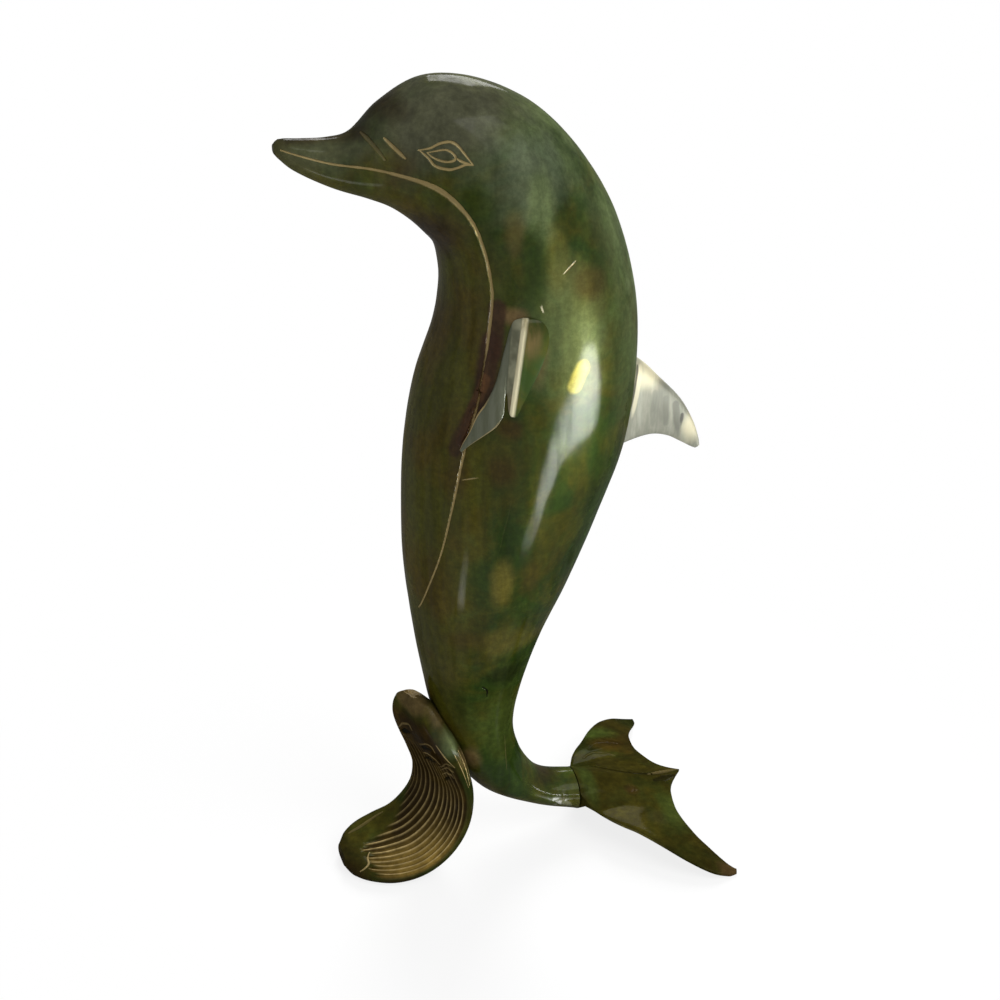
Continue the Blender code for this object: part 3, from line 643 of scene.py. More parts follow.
def blade_rings(sections):
    curve = spline(sections, BLADE_RINGS_PER_SPAN)
    root, tip = curve[0], curve[-1]
    span = tip[0:3] + tip[3:6] - root[0:3] - root[3:6]
    across = np.cross(span, root[0:3] - root[3:6])
    across /= np.linalg.norm(across)
    turns = 2 * pi * np.arange(BLADE_SIDES) / BLADE_SIDES
    along = ((1 - np.cos(turns)) / 2)[None, :, None]
    oval = np.sign(np.sin(turns)) * np.abs(np.sin(turns)) ** BLADE_OVAL_POWER
    fullness = (oval * (BLADE_FULLNESS + BLADE_TAPER * np.cos(turns)))[None, :, None]
    leading, trailing = curve[:, None, 0:3], curve[:, None, 3:6]
    return leading + (trailing - leading) * along + across * curve[:, None, 6:7] * fullness


def fluke_point(x, share, z):
    return on_grid(x, z, share * FLUKE_SPAN / 2)


def fluke_rings():
    """Rings from the left tip over the stalk to the right tip: an upper and a lower sheet in each."""
    stalk = BODY_RIBS[-1]
    stalk_top, stalk_bottom = on_grid(*stalk.back), on_grid(*stalk.belly)
    seam = (stalk_top + stalk_bottom) / 2 + np.array([SEAT_GAP, 0, 0])
    seam_steps = len(FLUKE_TRAILING_POINT)
    rows = []
    for step, point in enumerate(FLUKE_TRAILING_POINT):
        turn = pi / 2 * step / seam_steps
        leading = seam + np.array([0, stalk.width * BODY_WIDTH / 2 * sin(turn), 0])
        rows.append((*leading, *fluke_point(*point), (stalk_top - stalk_bottom)[2] / 2 * cos(turn)))
    for front, rear in zip(FLUKE_LEADING_EDGE, FLUKE_TRAILING_EDGE):
        rows.append((*fluke_point(*front), *fluke_point(*rear), FLUKE_EDGE_HALF_THICKNESS))
    half = spline(rows, FLUKE_ROWS_PER_SPAN)
    half[:, 0] = np.maximum(half[:, 0], seam[0])
    half[:, 6] = np.maximum(half[:, 6], FLUKE_EDGE_HALF_THICKNESS)
    flip = np.array([1, -1, 1, 1, -1, 1, 1])
    curve = np.concatenate([(half * flip)[:0:-1], half])
    along = (np.arange(FLUKE_STEPS + 1) / FLUKE_STEPS)[None, :, None]
    leading, trailing, root = curve[:, None, 0:3], curve[:, None, 3:6], curve[:, None, 6:7]
    fade = np.maximum(0, 1 - along / FLUKE_ROOT_FADE) ** 2
    fullest = np.sin(pi * along ** FLUKE_FULLEST_POWER)
    edge = FLUKE_EDGE_HALF_THICKNESS
    half_thickness = edge + (FLUKE_HALF_THICKNESS - edge) * fullest + (root - edge) * fade
    place = leading + (trailing - leading) * along
    lift = half_thickness * np.array([0, 0, 1])
    rings = np.concatenate([place + lift, (place - lift)[:, ::-1]], 1)
    rings[:, :, 2] = np.maximum(rings[:, :, 2], 0)
    return rings


def fluke_marks(data):
    tree = surface_tree(data)
    found = []
    for mark in FLUKE_MARKS:
        places = []
        for x, y in spline(mark.route, 4):
            places.append(tree.ray_cast(spot(x, y, ABOVE_FLUKES), Vector((0, 0, -1)))[0])
        found += close_points([place for place in places if place], mark)
    return found


def squared_oval(across):
    return np.sqrt(np.maximum(0, 1 - np.abs(across) ** WAVE_SQUARENESS))


def flute_mask(along, share):
    ragged = along + FLUTE_RAGGEDNESS * np.sin(FLUTE_RAG_TURN * np.round(WAVE_FLUTES * (share + 1) / 2))
    lengthwise = smooth_step(*FLUTES_BEGIN, along) * (1 - smooth_step(*FLUTES_END, ragged))
    border = FLUTES_RIGHT_RIM - TOE_BORDER_SPREAD * smooth_step(*TOE_BORDER_BEGINS, along)
    right_side = 1 - smooth_step(border, border + FLUTES_RIGHT_FADE, share)
    return lengthwise * smooth_step(*FLUTES_LEFT_RIM, share) * right_side


def wave_row(station):
    place = on_grid(station.x, station.z, station.aside * WAVE_WIDTH)
    half_thickness, half_width = station.thickness * WAVE_THICKNESS / 2, station.width * WAVE_WIDTH / 2
    return (*place, half_thickness, half_width, station.turn, station.lift)


def wave_wear(mask, ripple, along, share):
    """How much the face is a worn ridge, brown as in the valleys and the neck, or golden as low down."""
    low_right = smooth_step(-0.75, 0.35, -share) * smooth_step(0.30, 0.62, along)
    ridge = mask * (1 - ripple) ** 6 * (0.22 + 0.78 * low_right)
    neck = zone((0.10, 0.16), (0.30, 0.40), along) * zone((-0.96, -0.86), (0.75, 0.95), share)
    gold = mask * smooth_step(0.48, 0.66, along) * (1 - 0.65 * smooth_step(0.70, 0.82, along))
    return ridge, np.maximum(mask, neck), gold * smooth_step(-0.1, 0.7, -share)


def wave_rings():
    """The wave's rings, with how much each point is a worn ridge, a brown valley or golden brass."""
    stations = spline([wave_row(station) for station in WAVE_STATIONS], WAVE_RINGS_PER_SPAN, measured=3)
    count = len(stations)
    x, y, z, half_thickness, half_width, turn, lift = [column[:, None] for column in stations.T]
    index = np.arange(count)
    before, after = stations[np.maximum(index - 1, 0)], stations[np.minimum(index + 1, count - 1)]
    heading = (after - before)[:, [0, 2]]
    heading /= np.linalg.norm(heading, axis=1)[:, None]
    face_axis = np.stack([heading[:, 1], np.zeros(count), -heading[:, 0]], -1)[:, None]
    turn, lift = np.radians(turn), np.radians(lift)
    width_axis = np.stack([-np.sin(turn) * np.cos(lift), np.cos(turn) * np.cos(lift), np.sin(lift)], -1)
    face_count = WAVE_FLUTES * WAVE_POINTS_PER_FLUTE
    share = 2 * np.arange(face_count + 1)[None] / face_count - 1
    across = (1 - FLUTE_CROWDING) * share + FLUTE_CROWDING * np.sin(pi / 2 * share)
    along = (index / (count - 1))[:, None]
    ripple = 0.5 - 0.5 * np.cos(pi * WAVE_FLUTES * (share + 1))
    mask = flute_mask(along, share)
    width = half_width * across
    depth = half_thickness * (squared_oval(across) - WAVE_DISH * (1 - across ** 2))
    step_wide, step_deep = np.gradient(width, axis=1), np.gradient(depth, axis=1)
    step_length = np.hypot(step_wide, step_deep)
    groove = WAVE_FLUTE_DEPTH * mask * ripple ** FLUTE_SHARPNESS
    width, depth = width + groove * step_deep / step_length, depth - groove * step_wide / step_length
    back_across = np.cos(pi * np.arange(1, WAVE_BACK_POINTS) / WAVE_BACK_POINTS)[None]
    width = np.concatenate([width, half_width * back_across], 1)
    depth = np.concatenate([depth, -half_thickness * squared_oval(back_across)], 1)
    nothing = np.zeros((count, WAVE_BACK_POINTS - 1))
    values = [np.concatenate([value, nothing], 1) for value in wave_wear(mask, ripple, along, share)]
    place = np.stack([x, y, z], -1)
    rings = place + width_axis * width[:, :, None] + face_axis * depth[:, :, None]
    rings[:, :, 2] = np.maximum(rings[:, :, 2], 0)
    return rings, values


def wave_marks(rings):
    count, sides = rings.shape[:2]
    found = []
    for mark in WAVE_MARKS:
        places = []
        for along, around in spline(mark.route, 6):
            row, column = along * (count - 1), around * sides
            low, left = int(row), int(column)
            rest, aside = row - low, column - left
            corner = [rings[low + up, (left + over) % sides] for up in (0, 1) for over in (0, 1)]
            lower = corner[0] * (1 - aside) + corner[1] * aside
            upper = corner[2] * (1 - aside) + corner[3] * aside
            places.append(Vector(lower * (1 - rest) + upper * rest) + STAND)
        found += close_points(places, mark)
    return found


class Nodes:
    """The nodes of a material or a world, made and linked from plain values."""

    def __init__(self, owner):
        owner.use_nodes = True
        self.nodes, self.links = owner.node_tree.nodes, owner.node_tree.links

    def feed(self, socket, value):
        if isinstance(value, bpy.types.NodeSocket):
            self.links.new(value, socket)
        elif socket.type == "RGBA":
            socket.default_value = (*value, 1)
        else:
            socket.default_value = value

    def node(self, kind, inputs, output=0, **settings):
        """A new node with its settings, and its inputs by name or number. Gives one of its outputs."""
        made = self.nodes.new("ShaderNode" + kind)
        for key, value in settings.items():
            setattr(made, key, value)
        for key, value in inputs.items():
            self.feed(made.inputs[key], value)
        return made.outputs[output]

    def ramp(self, value, low, high, start=0, end=1):
        """From start to end as the value goes from low to high, smoothly."""
        inputs = {"Value": value, "From Min": low, "From Max": high, "To Min": start, "To Max": end}
        return self.node("MapRange", inputs, "Result", interpolation_type="SMOOTHSTEP")

    def math(self, operation, *values):
        return self.node("Math", dict(enumerate(values)), operation=operation)

    def vector(self, operation, *values, output=0):
        return self.node("VectorMath", dict(enumerate(values)), output, operation=operation)

    def scaled(self, vector, amount):
        return self.node("VectorMath", {0: vector, "Scale": amount}, operation="SCALE")

    def attribute(self, name):
        return self.node("Attribute", {}, "Fac", attribute_name=name)

    def surface(self, shader):
        self.feed(self.nodes["Material Output"].inputs["Surface"], shader)


class Finish(Nodes):
    """A material of the figure, built up from object coordinates in metres."""

    def __init__(self, name):
        self.material = bpy.data.materials.new(name)
        super().__init__(self.material)
        self.place = self.node("TexCoord", {}, "Object")

    def set(self, **values):
        shader = self.nodes["Principled BSDF"]
        for key, value in values.items():
            self.feed(shader.inputs[key.replace("_", " ")], value)

    def noise(self, scale, detail=4, roughness=0.55, distortion=0, stretch=(1, 1, 1), offset=0):
        inputs = {"Vector": self.place, "Scale": stretch, "Location": (offset, offset, offset)}
        inputs = {"Vector": self.node("Mapping", inputs), "Scale": scale, "Detail": detail}
        return self.node("TexNoise", {**inputs, "Roughness": roughness, "Distortion": distortion}, "Fac")

    def mix(self, factor, one, other):
        """A colour mix, whose factor and two colours are the inputs 0, 6 and 7 of its node."""
        return self.node("Mix", {0: factor, 6: one, 7: other}, 2, data_type="RGBA")

    def tint(self, colour, amount, strength, other):
        return self.mix(self.math("MULTIPLY", amount, strength), colour, other)

    def faded(self, distance, soft, waver, scale):
        """1 near, fading to 0 at a distance of 1 over its soft share, with a wavering edge."""
        distance = self.math("ADD", distance, self.math("MULTIPLY", self.noise(scale, 3), waver))
        return self.ramp(distance, 1 - soft + waver / 2, 1 + waver / 2, 1, 0)

    def patch(self, centre, size, soft=0.7, waver=1.0):
        """An oval patch about a point, whose half sizes are in millimetres."""
        away = self.vector("SUBTRACT", self.place, centre)
        away = self.vector("DIVIDE", away, [edge / 1000 for edge in size])
        return self.faded(self.vector("LENGTH", away, output=1), soft, waver, PATCH_WAVER_SCALE)

    def stroke(self, start, end, width):
        """A straight stroke between two points, whose half width is in millimetres."""
        run = end - start
        away = self.vector("SUBTRACT", self.place, start)
        share = self.math("DIVIDE", self.vector("DOT_PRODUCT", away, run, output=1), run.length_squared)
        nearest = self.scaled(run, self.node("Clamp", {"Value": share}))
        distance = self.vector("LENGTH", self.vector("SUBTRACT", away, nearest), output=1)
        return self.faded(self.math("DIVIDE", distance, width / 1000), 0.5, 0.3, STROKE_WAVER_SCALE)

    def bump(self, height, strength):
        inputs = {"Strength": strength, "Distance": BUMP_DISTANCE, "Height": height}
        self.set(Normal=self.node("Bump", inputs))


PATCH_WAVER_SCALE = 48
STROKE_WAVER_SCALE = 200
BUMP_DISTANCE = 0.0003

DEEP_GREEN = (0.018, 0.034, 0.005)
LEAF_GREEN = (0.042, 0.062, 0.012)
BLUE_GREEN_SHEEN = (0.074, 0.092, 0.056)
PALE_GREEN = (0.100, 0.132, 0.050)
OLIVE = (0.046, 0.044, 0.005)
GREY_OLIVE = (0.064, 0.066, 0.036)
YELLOW_OLIVE = (0.120, 0.100, 0.018)
GOLD_OLIVE = (0.225, 0.150, 0.034)
YELLOW_HIGHLIGHT = (0.420, 0.360, 0.060)
BROWN = (0.040, 0.025, 0.004)
DARK_BROWN = (0.020, 0.012, 0.003)
BELLY_BROWN = (0.052, 0.037, 0.004)
TIP_BROWN = (0.055, 0.034, 0.012)
SHOULDER_BROWN = (0.130, 0.085, 0.035)
RUST = (0.075, 0.034, 0.012)
DARK_RUST_AND_SHADE = (0.030, 0.013, 0.006)
NEAR_BLACK = (0.006, 0.006, 0.003)
TAN_BRASS = (0.400, 0.300, 0.130)
CREAM = (0.680, 0.630, 0.420)
DULL_RIDGE_HIGHLIGHT = (0.300, 0.260, 0.140)
PALE_METAL_AND_SHEEN = (0.330, 0.335, 0.265)
DULL_METAL_AND_SHEEN = (0.210, 0.215, 0.165)
STEEL_GREY = (0.130, 0.133, 0.105)
DARK_GREY = (0.040, 0.040, 0.035)
NICK_GREY = (0.060, 0.050, 0.040)
GAP_GREY = (0.050, 0.050, 0.030)
FACE_DARK = (0.110, 0.112, 0.070)
FACE_LIGHT = (0.270, 0.268, 0.175)
BLADE_DARK = (0.070, 0.076, 0.046)
BLADE_LIGHT = (0.105, 0.112, 0.078)


def mottled(finish, greenness=0.5):
    """The patina's clouds of green, olive and brown."""
    clouds = finish.ramp(finish.noise(26, 5, 0.6, 0.6), 0.40, 0.62)
    browns = finish.ramp(finish.noise(18, 5, 0.65, 0.5, offset=3), 0.60 - 0.12 * (1 - greenness), 0.78)
    leaves = finish.ramp(finish.noise(40, 4, 0.6, 0.4, offset=5), 0.50, 0.70, 0, 0.7)
    colour = finish.mix(clouds, DEEP_GREEN, OLIVE)
    colour = finish.mix(leaves, colour, LEAF_GREEN)
    return finish.mix(browns, colour, BROWN)


def painted(finish, colour, patches):
    """The colour with patches over it, each with its centre, half sizes, tint and strength."""
    for centre, size, tint, strength in patches:
        colour = finish.tint(colour, finish.patch(centre, size), strength, tint)
    return colour


def stroked(finish, colour, placed, strokes):
    """The colour with strokes over it. The placed function puts their ends, given as x and z, in space."""
    for start, end, width, tint, strength in strokes:
        colour = finish.tint(colour, finish.stroke(placed(*start), placed(*end), width), strength, tint)
    return colour


def brushed(finish, colour):
    """Upright strokes and fine specks that lighten and darken the colour."""
    strokes = finish.ramp(finish.noise(90, 4, 0.6, 0.3, stretch=(1, 1, 0.12)), 0.3, 0.7, 0.78, 1.24)
    specks = finish.ramp(finish.noise(330, 3, 0.7), 0.30, 0.75, 0.82, 1.20)
    return finish.scaled(colour, finish.math("MULTIPLY", strokes, specks))


def marks_worn_and_shaded(finish, colour):
    """Tan brass where a mark is worn bare, also as a painted highlight on the flukes' ridge, and near
    black where its bareness is below 0, also as painted shade in the flukes' creases.
    """
    bare = finish.attribute("bare")
    colour = finish.mix(finish.ramp(bare, 0, 1), colour, TAN_BRASS)
    return finish.mix(finish.ramp(finish.math("MULTIPLY", bare, -1), 0, 1), colour, NEAR_BLACK)


def lacquer(finish, weight=0.07):
    """A thin clear lacquer over patinated metal, which hand rubbing has left with fine level scratches."""
    finish.set(Metallic=0.14, Specular_IOR_Level=0, Specular_Tint=(0.3, 0.3, 0.3))
    finish.set(Coat_Weight=weight, Coat_Roughness=0.10, Coat_IOR=2.0)
    finish.set(Roughness=finish.ramp(finish.noise(55, 4, 0.6, offset=7), 0.3, 0.7, 0.30, 0.46))
    scratches = finish.noise(520, 4, 0.65, stretch=(0.22, 0.22, 1))
    dents = finish.noise(70, 2, 0.5, offset=4)
    finish.bump(finish.math("ADD", scratches, finish.math("MULTIPLY", dents, 2.5)), 0.16)


def body_colour(finish):
    colour = mottled(finish)
    belly = finish.ramp(finish.attribute("toward_back"), -0.25, -0.85, 0, 0.85)
    belly_colour = finish.mix(finish.ramp(finish.noise(30, 4), 0.4, 0.6), BELLY_BROWN, OLIVE)
    colour = finish.mix(belly, colour, belly_colour)
    # Paler green towards the back of the upper body: partly patina clouds, partly painted light on the
    # side that is lit more.
    back = finish.ramp(finish.attribute("toward_back"), 0.45, 0.85, 0, 0.90)
    clouds = finish.ramp(finish.noise(22, 5, 0.6, 0.5, offset=9), 0.36, 0.58, 0.25, 1)
    back = finish.math("MULTIPLY", back, clouds)
    upper = finish.patch(spot(30, 0, 330), (100, 120, 120), 0.6, 0.2)
    colour = finish.tint(colour, back, upper, PALE_GREEN)
    colour = painted(finish, colour, (
        # Painted sheen: the head's grey olive and the blue green on its right stand for the reflection of
        # a pale ceiling and of a lamp.
        (spot(-26, -12, 386), (52, 64, 34), GREY_OLIVE, 1.00),
        (spot(0, -34, 364), (28, 44, 30), BLUE_GREEN_SHEEN, 0.70),
        (spot(-80, 0, 371), (36, 30, 14), GREY_OLIVE, 0.70),
        (spot(-80, 0, 380), (36, 25, 7), DARK_BROWN, 0.90),
        (spot(-58, 0, 391), (20, 40, 11), DARK_BROWN, 0.80),
        (spot(-34, 0, 334), (13, 60, 26), DARK_BROWN, 0.90),
        (spot(-36, 0, 300), (12, 60, 30), BROWN, 0.70),
        # The pale green on the flank beside the flipper is patina and in part a painted sheen.
        (spot(16, -44, 292), (28, 30, 44), PALE_GREEN, 0.50),
        (spot(6, -38, 350), (8, 30, 22), PALE_GREEN, 0.55),
        (spot(13, -42, 327), (7, 30, 20), YELLOW_OLIVE, 0.30),
        (spot(-6, -40, 338), (6, 22, 15), SHOULDER_BROWN, 0.30),
        (spot(2, -40, 320), (8, 30, 26), DEEP_GREEN, 0.80),
        (spot(-22, -36, 352), (12, 20, 14), DEEP_GREEN, 0.60),
        (spot(27, -38, 313), (12, 24, 12), BROWN, 0.65),
        (spot(-7, -42, 301), (10, 18, 6), SHOULDER_BROWN, 0.90),
        (spot(3, -46, 284), (7, 20, 20), SHOULDER_BROWN, 0.50),
        (spot(-9, -45, 250), (9, 18, 7), BROWN, 0.85),
        (spot(-14, -46, 230), (9, 20, 12), BROWN, 0.75),
        (spot(-30, -38, 232), (7, 20, 22), BROWN, 0.55),
        (spot(-12, -43, 170), (8, 22, 20), YELLOW_OLIVE, 0.75),
        (spot(42, -30, 196), (24, 50, 50), DEEP_GREEN, 0.95),
        (spot(2, -40, 172), (8, 22, 16), BROWN, 0.40),
        (spot(-28, -34, 136), (18, 24, 9), BROWN, 0.60),
        (spot(-8, -32, 134), (22, 24, 12), YELLOW_OLIVE, 0.40),
        (spot(-6, -28, 113), (16, 24, 9), NEAR_BLACK, 0.60),
        (spot(-4, -20, 78), (18, 24, 28), LEAF_GREEN, 0.85),
        (spot(-21, -18, 58), (8, 16, 12), SHOULDER_BROWN, 0.80),
        (spot(26, 0, 34), (16, 30, 6), DARK_BROWN, 0.70),
    ))
    # A painted yellow highlight in the flank's streak, and then the rusty braze before and below the
    # flipper, whose wide dark strokes are also painted shade where the flipper stands off the flank.
    colour = stroked(finish, colour, lambda x, z: on_flank(flanks, x, z, -1), (
        ((20.0, 268), (24.0, 276), 4.6, YELLOW_HIGHLIGHT, 0.55),
        ((-12, 304), (-14, 284), 5.5, DARK_RUST_AND_SHADE, 0.85),
        ((-15, 288), (-20, 262), 6.5, DARK_RUST_AND_SHADE, 0.90),
        ((-18, 272), (-29, 242), 3.2, RUST, 0.80),
        ((-23, 258), (-31, 238), 5.0, DARK_RUST_AND_SHADE, 0.75),
    ))
    # Painted glints: cream specks above the flipper stand for the lacquer's broken highlight.
    glint_specks = finish.ramp(finish.noise(420, 3, 0.6, stretch=(1, 1, 0.5)), 0.60, 0.68, 0, 0.7)
    return finish.tint(colour, glint_specks, finish.patch(spot(6, -42, 298), (4, 12, 14), 0.6, 0.5), CREAM)


def body_finish():
    """The body's lacquer is satin on the cheek and the tail and brushed elsewhere, with a low glint."""
    finish = Finish("body_patina")
    finish.set(Base_Color=marks_worn_and_shaded(finish, brushed(finish, body_colour(finish))))
    satin = finish.patch(spot(-4, -40, 362), (34, 46, 34), 0.5, 0.1)
    satin = finish.math("MAXIMUM", satin, finish.patch(spot(8, 0, 92), (60, 60, 52), 0.4, 0.1))
    weight = finish.ramp(satin, 0, 1, 0.064, 0.014)
    glint = finish.patch(spot(28, -13, 21), (8, 9, 7), 0.7, 0.8)
    glint = finish.math("MULTIPLY", glint, finish.ramp(finish.noise(260, 3, 0.7), 0.45, 0.6, 0.06, 0.40))
    strokes = finish.ramp(finish.noise(150, 4, 0.65, 0.2, stretch=(1, 1, 0.10)), 0.30, 0.60, 0.55, 1.15)
    lacquer(finish, finish.math("MAXIMUM", finish.math("MULTIPLY", weight, strokes), glint))
    return finish.material


def fluke_finish():
    finish = Finish("fluke_patina")
    colour = finish.mix(0.52, mottled(finish, 0.3), DARK_BROWN)
    colour = painted(finish, colour, (
        (spot(46, -6, 20), (6, 18, 16), LEAF_GREEN, 0.60),
        (spot(68, -11, 14), (6, 7, 8), RUST, 0.45),
        (spot(74, -33, 14), (9, 8, 8), GREY_OLIVE, 0.12),
        (spot(84, -28, 12), (9, 22, 8), LEAF_GREEN, 0.55),
        (spot(74, 37, 13), (13, 12, 8), BROWN, 0.80),
        (spot(72, 50, 12), (16, 10, 10), LEAF_GREEN, 0.60),
        (spot(98, -72, 2), (9, 9, 8), TIP_BROWN, 0.90),
    ))
    finish.set(Base_Color=marks_worn_and_shaded(finish, brushed(finish, colour)))
    glint = finish.patch(spot(50, 38, 15), (4, 5, 6), 0.4, 0.2)
    lacquer(finish, finish.ramp(glint, 0, 1, 0.010, 0.08))
    return finish.material


def wave_finish():
    finish = Finish("wave_patina")
    colour = finish.mix(0.35, mottled(finish, 0.2), DARK_BROWN)
    colour = painted(finish, colour, (
        (spot(-46, -2, 92), (12, 16, 10), SHOULDER_BROWN, 0.65),
        (spot(-36, -12, 84), (7, 12, 7), SHOULDER_BROWN, 0.45),
        (spot(-31, -16, 72), (7, 9, 14), PALE_GREEN, 0.55),
        (spot(-24, -16, 62), (6, 8, 12), SHOULDER_BROWN, 0.60),
        (spot(-80, -8, 2), (14, 30, 6), DARK_BROWN, 0.85),
        (spot(-60, -28, 1), (30, 8, 5), DARK_BROWN, 0.80),
        (spot(-84, -10, 8), (18, 30, 14), DARK_BROWN, 0.55),
    ))
    valleys = finish.mix(finish.ramp(finish.noise(60, 4, 0.6), 0.45, 0.75), DARK_BROWN, BROWN)
    colour = finish.mix(finish.attribute("valley"), colour, valleys)
    colour = finish.tint(colour, finish.attribute("gold"), 0.90, GOLD_OLIVE)
    uneven = finish.ramp(finish.noise(120, 4, 0.6, offset=2), 0.30, 0.55, 0.55, 1.0)
    colour = finish.tint(colour, finish.attribute("ridge"), uneven, TAN_BRASS)
    finish.set(Base_Color=marks_worn_and_shaded(finish, brushed(finish, colour)))
    near_band = finish.patch(spot(-33, -16, 78), (10, 18, 18), 0.5, 0.3)
    lacquer(finish, finish.ramp(near_band, 0, 1, 0.014, 0.09))
    return finish.material


def flipper_finish():
    finish = Finish("flipper_patina")
    strokes = finish.noise(260, 4, 0.6, 0.2, stretch=(1, 1, 0.06))
    green = mottled(finish)
    colour = finish.mix(finish.ramp(strokes, 0.35, 0.65), green, SHOULDER_BROWN)
    colour = finish.mix(finish.patch(spot(0, -48, 294), (9, 12, 16), 0.9), green, colour)
    front = finish.mix(finish.ramp(finish.noise(80, 3), 0.35, 0.65), FACE_DARK, FACE_LIGHT)
    glints = finish.ramp(finish.noise(900, 2, 0.5), 0.60, 0.68, 0, 0.85)
    front = finish.tint(front, glints, finish.patch(spot(-5, -49, 282), (3.0, 8, 8), 0.5, 0.2), CREAM)
    front = finish.tint(front, finish.patch(spot(-9, -49, 262), (8, 10, 9)), 0.8, SHOULDER_BROWN)
    colour = finish.mix(finish.attribute("front"), colour, front)
    blade = finish.mix(finish.ramp(strokes, 0.3, 0.7), BLADE_DARK, BLADE_LIGHT)
    colour = finish.mix(finish.attribute("blade"), colour, blade)
    colour = finish.mix(finish.attribute("edge"), colour, TAN_BRASS)
    # The ridge's cream is a painted highlight along its rounded crest, brown at its lower end.
    ridge = finish.mix(finish.ramp(strokes, 0.35, 0.7), CREAM, DULL_RIDGE_HIGHLIGHT)
    ridge = finish.mix(finish.patch(spot(-12, -49, 250), (9, 14, 7), 0.6, 0.3), ridge, SHOULDER_BROWN)
    finish.set(Base_Color=finish.mix(finish.attribute("ridge"), colour, ridge))
    lacquer(finish)
    return finish.material


def brushed_fin():
    """Pale metal, painted paler still with the reflection of a bright window, with upright brush marks,
    dark streaks, a nick, and its gap and braze at the root.
    """
    finish = Finish("brushed_fin_metal_and_sheen")
    strokes = finish.noise(230, 5, 0.65, 0.2, stretch=(1, 1, 0.07))
    colour = finish.mix(finish.ramp(strokes, 0.3, 0.7), PALE_METAL_AND_SHEEN, DULL_METAL_AND_SHEEN)
    # The cream patches at the top and near the tip are painted highlights of that window.
    colour = finish.tint(colour, finish.patch(spot(74, 0, 251), (17, 30, 12), 0.8), 0.85, CREAM)
    colour = finish.tint(colour, finish.patch(spot(96, 0, 218), (7, 30, 11), 0.8), 0.7, CREAM)
    streaks = finish.noise(60, 4, 0.6, 0.3, stretch=(1, 1, 0.30), offset=2)
    colour = finish.mix(finish.ramp(streaks, 0.50, 0.66, 0, 0.6), colour, STEEL_GREY)
    colour = stroked(finish, colour, lambda x, z: spot(x, -3, z), (
        ((87.5, 232), (90.0, 214), 2.6, STEEL_GREY, 0.8),
        ((91.2, 226), (90.8, 216), 1.3, DARK_GREY, 0.8),
        ((92.2, 214), (91.6, 207), 1.2, NEAR_BLACK, 1.0),
        ((92.2, 232), (92.4, 231), 0.9, NICK_GREY, 0.9),
        ((82.0, 236), (83.0, 222), 2.2, STEEL_GREY, 0.5),
        ((76.0, 240), (76.0, 222), 2.0, STEEL_GREY, 0.4),
    ))
    colour = stroked(finish, colour, lambda x, z: spot(x, -4, z), (
        ((68.6, 256), (64.0, 219), 1.5, CREAM, 0.6),
        ((67.0, 257), (62.2, 219), 0.9, GAP_GREY, 0.9),
        ((61.0, 218), (66.5, 213.5), 1.9, RUST, 0.9),
    ))
    finish.set(Base_Color=colour, Metallic=0.05, Specular_IOR_Level=0.1)
    finish.set(Roughness=finish.ramp(strokes, 0.3, 0.7, 0.40, 0.55))
    finish.bump(strokes, 0.35)
    return finish.material


def rays_that_see(made):
    """1 for the rays that show the background: those of the camera, of gloss and through glass."""
    seen = 0
    for kind in ("Is Camera Ray", "Is Glossy Ray", "Is Transmission Ray"):
        seen = made.math("MAXIMUM", seen, made.node("LightPath", {}, kind))
    return seen


def white_floor():
    """A pale floor that keeps the shadow near the object and is plain white further away."""
    bpy.ops.mesh.primitive_plane_add(size=FLOOR_SIZE, location=(0, 0, -FLOOR_DROP))
    floor = bpy.context.object
    floor.name = "floor"
    material = bpy.data.materials.new("pale_floor")
    made = Nodes(material)
    shader = made.nodes["Principled BSDF"]
    for key, value in (("Base Color", FLOOR_COLOUR), ("Roughness", 1), ("Specular IOR Level", 0)):
        made.feed(shader.inputs[key], value)
    distance = made.vector("LENGTH", made.node("TexCoord", {}, "Object"), output=1)
    white = made.math("MULTIPLY", made.ramp(distance, *FLOOR_CLEARING), rays_that_see(made))
    made.surface(made.node("MixShader", {0: white, 1: shader.outputs[0], 2: made.node("Emission", {})}))
    floor.data.materials.append(material)


def white_world():
    world = bpy.data.worlds.new("studio")
    bpy.context.scene.world = world
    made = Nodes(world)
    background = made.nodes["Background"]
    made.feed(background.inputs["Color"], (1, 1, 1))
    made.feed(background.inputs["Strength"], made.ramp(rays_that_see(made), 0, 1, WORLD_LEVEL, 1))


def area_light(name, azimuth, elevation, distance, width, height, power):
    """A soft box that faces the figure. Azimuth 0 is before its left flank, and 90 behind its back."""
    data = bpy.data.lights.new(name, "AREA")
    data.shape = "RECTANGLE"
    data.size, data.size_y, data.energy = width, height, power
    lamp = new_piece(name, data)
    away = direction(radians(azimuth), radians(elevation))
    lamp.location = LAMPS_FACE + away * distance
    lamp.rotation_euler = away.to_track_quat("Z", "Y").to_euler()
    lamp.visible_camera = False


def direction(azimuth, elevation):
    return Vector((sin(azimuth) * cos(elevation), -cos(azimuth) * cos(elevation), sin(elevation)))


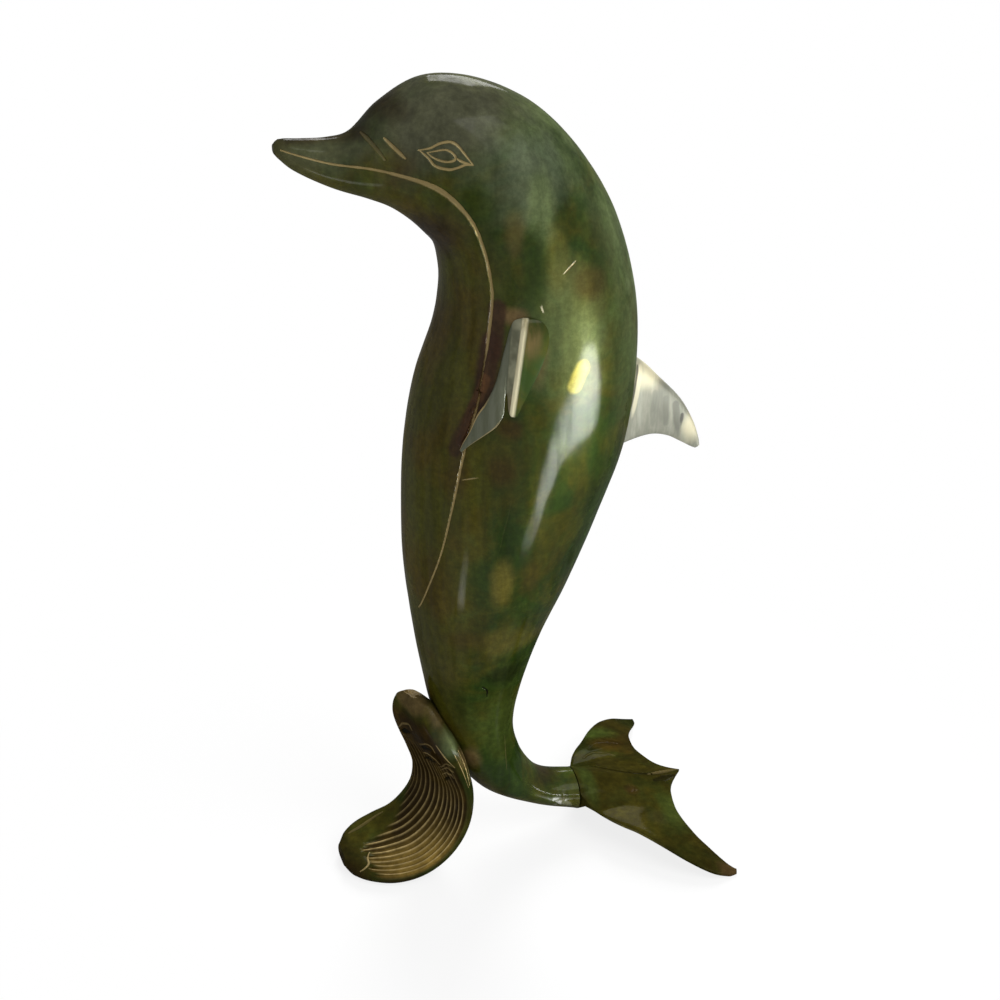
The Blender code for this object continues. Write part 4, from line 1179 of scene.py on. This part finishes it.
def floor_glow(name, rows):
    """A bright strip on the floor, like daylight from a window, which only the gloss shows."""
    points, levels, faces = [], [], []
    for left, middle, right, level in rows:
        for share, bright in GLOW_ACROSS:
            one, other = (left, middle) if share < 0.5 else (middle, right)
            rest = share * 2 if share < 0.5 else share * 2 - 1
            x, y = np.array(one) * (1 - rest) + np.array(other) * rest
            points.append((x / 1000 + STAND_X, y / 1000, GLOW_HEIGHT))
            levels.append(level * bright)
    across = len(GLOW_ACROSS)
    for row in range(len(rows) - 1):
        for column in range(across - 1):
            corner = row * across + column
            faces.append((corner, corner + 1, corner + across + 1, corner + across))
    data = bpy.data.meshes.new(name)
    data.from_pydata(points, [], faces)
    data.attributes.new("glow", "FLOAT", "POINT").data.foreach_set("value", levels)
    material = bpy.data.materials.new(name)
    made = Nodes(material)
    made.nodes.remove(made.nodes["Principled BSDF"])
    made.surface(made.node("Emission", {"Strength": made.attribute("glow")}))
    data.materials.append(material)
    glow = new_piece(name, data)
    glow.visible_camera = False
    glow.visible_diffuse = False
    glow.visible_shadow = False


def photo_camera():
    data = bpy.data.cameras.new("camera")
    data.lens = CAMERA_LENS
    camera = new_piece("camera", data)
    back = direction(CAMERA_AZIMUTH, CAMERA_ELEVATION)
    camera.location = CAMERA_TARGET + back * CAMERA_DISTANCE
    camera.rotation_euler = (-back).to_track_quat("-Z", "Y").to_euler()
    bpy.context.scene.camera = camera


seat = grown_seat()
body_data = plain_body()
flanks = surface_tree(body_data)
carve(body_data, body_marks(flanks), BODY_MARGINS, BODY_UNEVENNESS)
body = new_piece("dolphin_body", body_data)
finish_piece(body, body_finish(), "body_brass", "body")

rings, wear = wave_rings()
wave_data = lofted("breaking_wave", rings)
for value_name, values in zip(("ridge", "valley", "gold"), wear):
    give_values(wave_data, value_name, values)
carve(wave_data, wave_marks(rings), SMALL_MARGINS, SMALL_UNEVENNESS)
wave = new_piece("breaking_wave", wave_data)
cut_with_values(wave, seat)
finish_piece(wave, wave_finish(), "wave_brass", "wave_foot")

flukes_data = lofted("flukes", fluke_rings())
carve(flukes_data, fluke_marks(flukes_data), SMALL_MARGINS, SMALL_UNEVENNESS)
flukes = new_piece("flukes", flukes_data)
finish_piece(flukes, fluke_finish(), "fluke_brass", "tail_flukes")

flipper_material = flipper_finish()
for name, side, node in (("near_flipper", -1, "left_flipper"), ("far_flipper", 1, "right_flipper")):
    rings = flipper_rings(flanks, side)
    data = lofted(name, rings)
    flipper_values(data, len(rings))
    flipper = new_piece(name, data)
    cut_with_values(flipper, seat)
    finish_piece(flipper, flipper_material, "flipper_brass", node)

fin_data = lofted("back_fin", dorsal_fin_rings())
fin = new_piece("back_fin", fin_data)
cut(fin, seat)
finish_piece(fin, brushed_fin(), "dorsal_fin_metal", "dorsal_fin")

bpy.data.objects.remove(seat)

white_floor()
white_world()
area_light("front_softbox", azimuth=38, elevation=42, distance=1.9, width=1.4, height=1.4, power=22)
area_light("back_window", azimuth=158, elevation=34, distance=1.6, width=0.6, height=0.8, power=24)
for strip, rows in (("long_glow", LONG_GLOW), ("side_glow", SIDE_GLOW), ("stalk_glow", STALK_GLOW)):
    floor_glow(strip, rows)
photo_camera()

scene = bpy.context.scene
scene.view_settings.view_transform = "Standard"
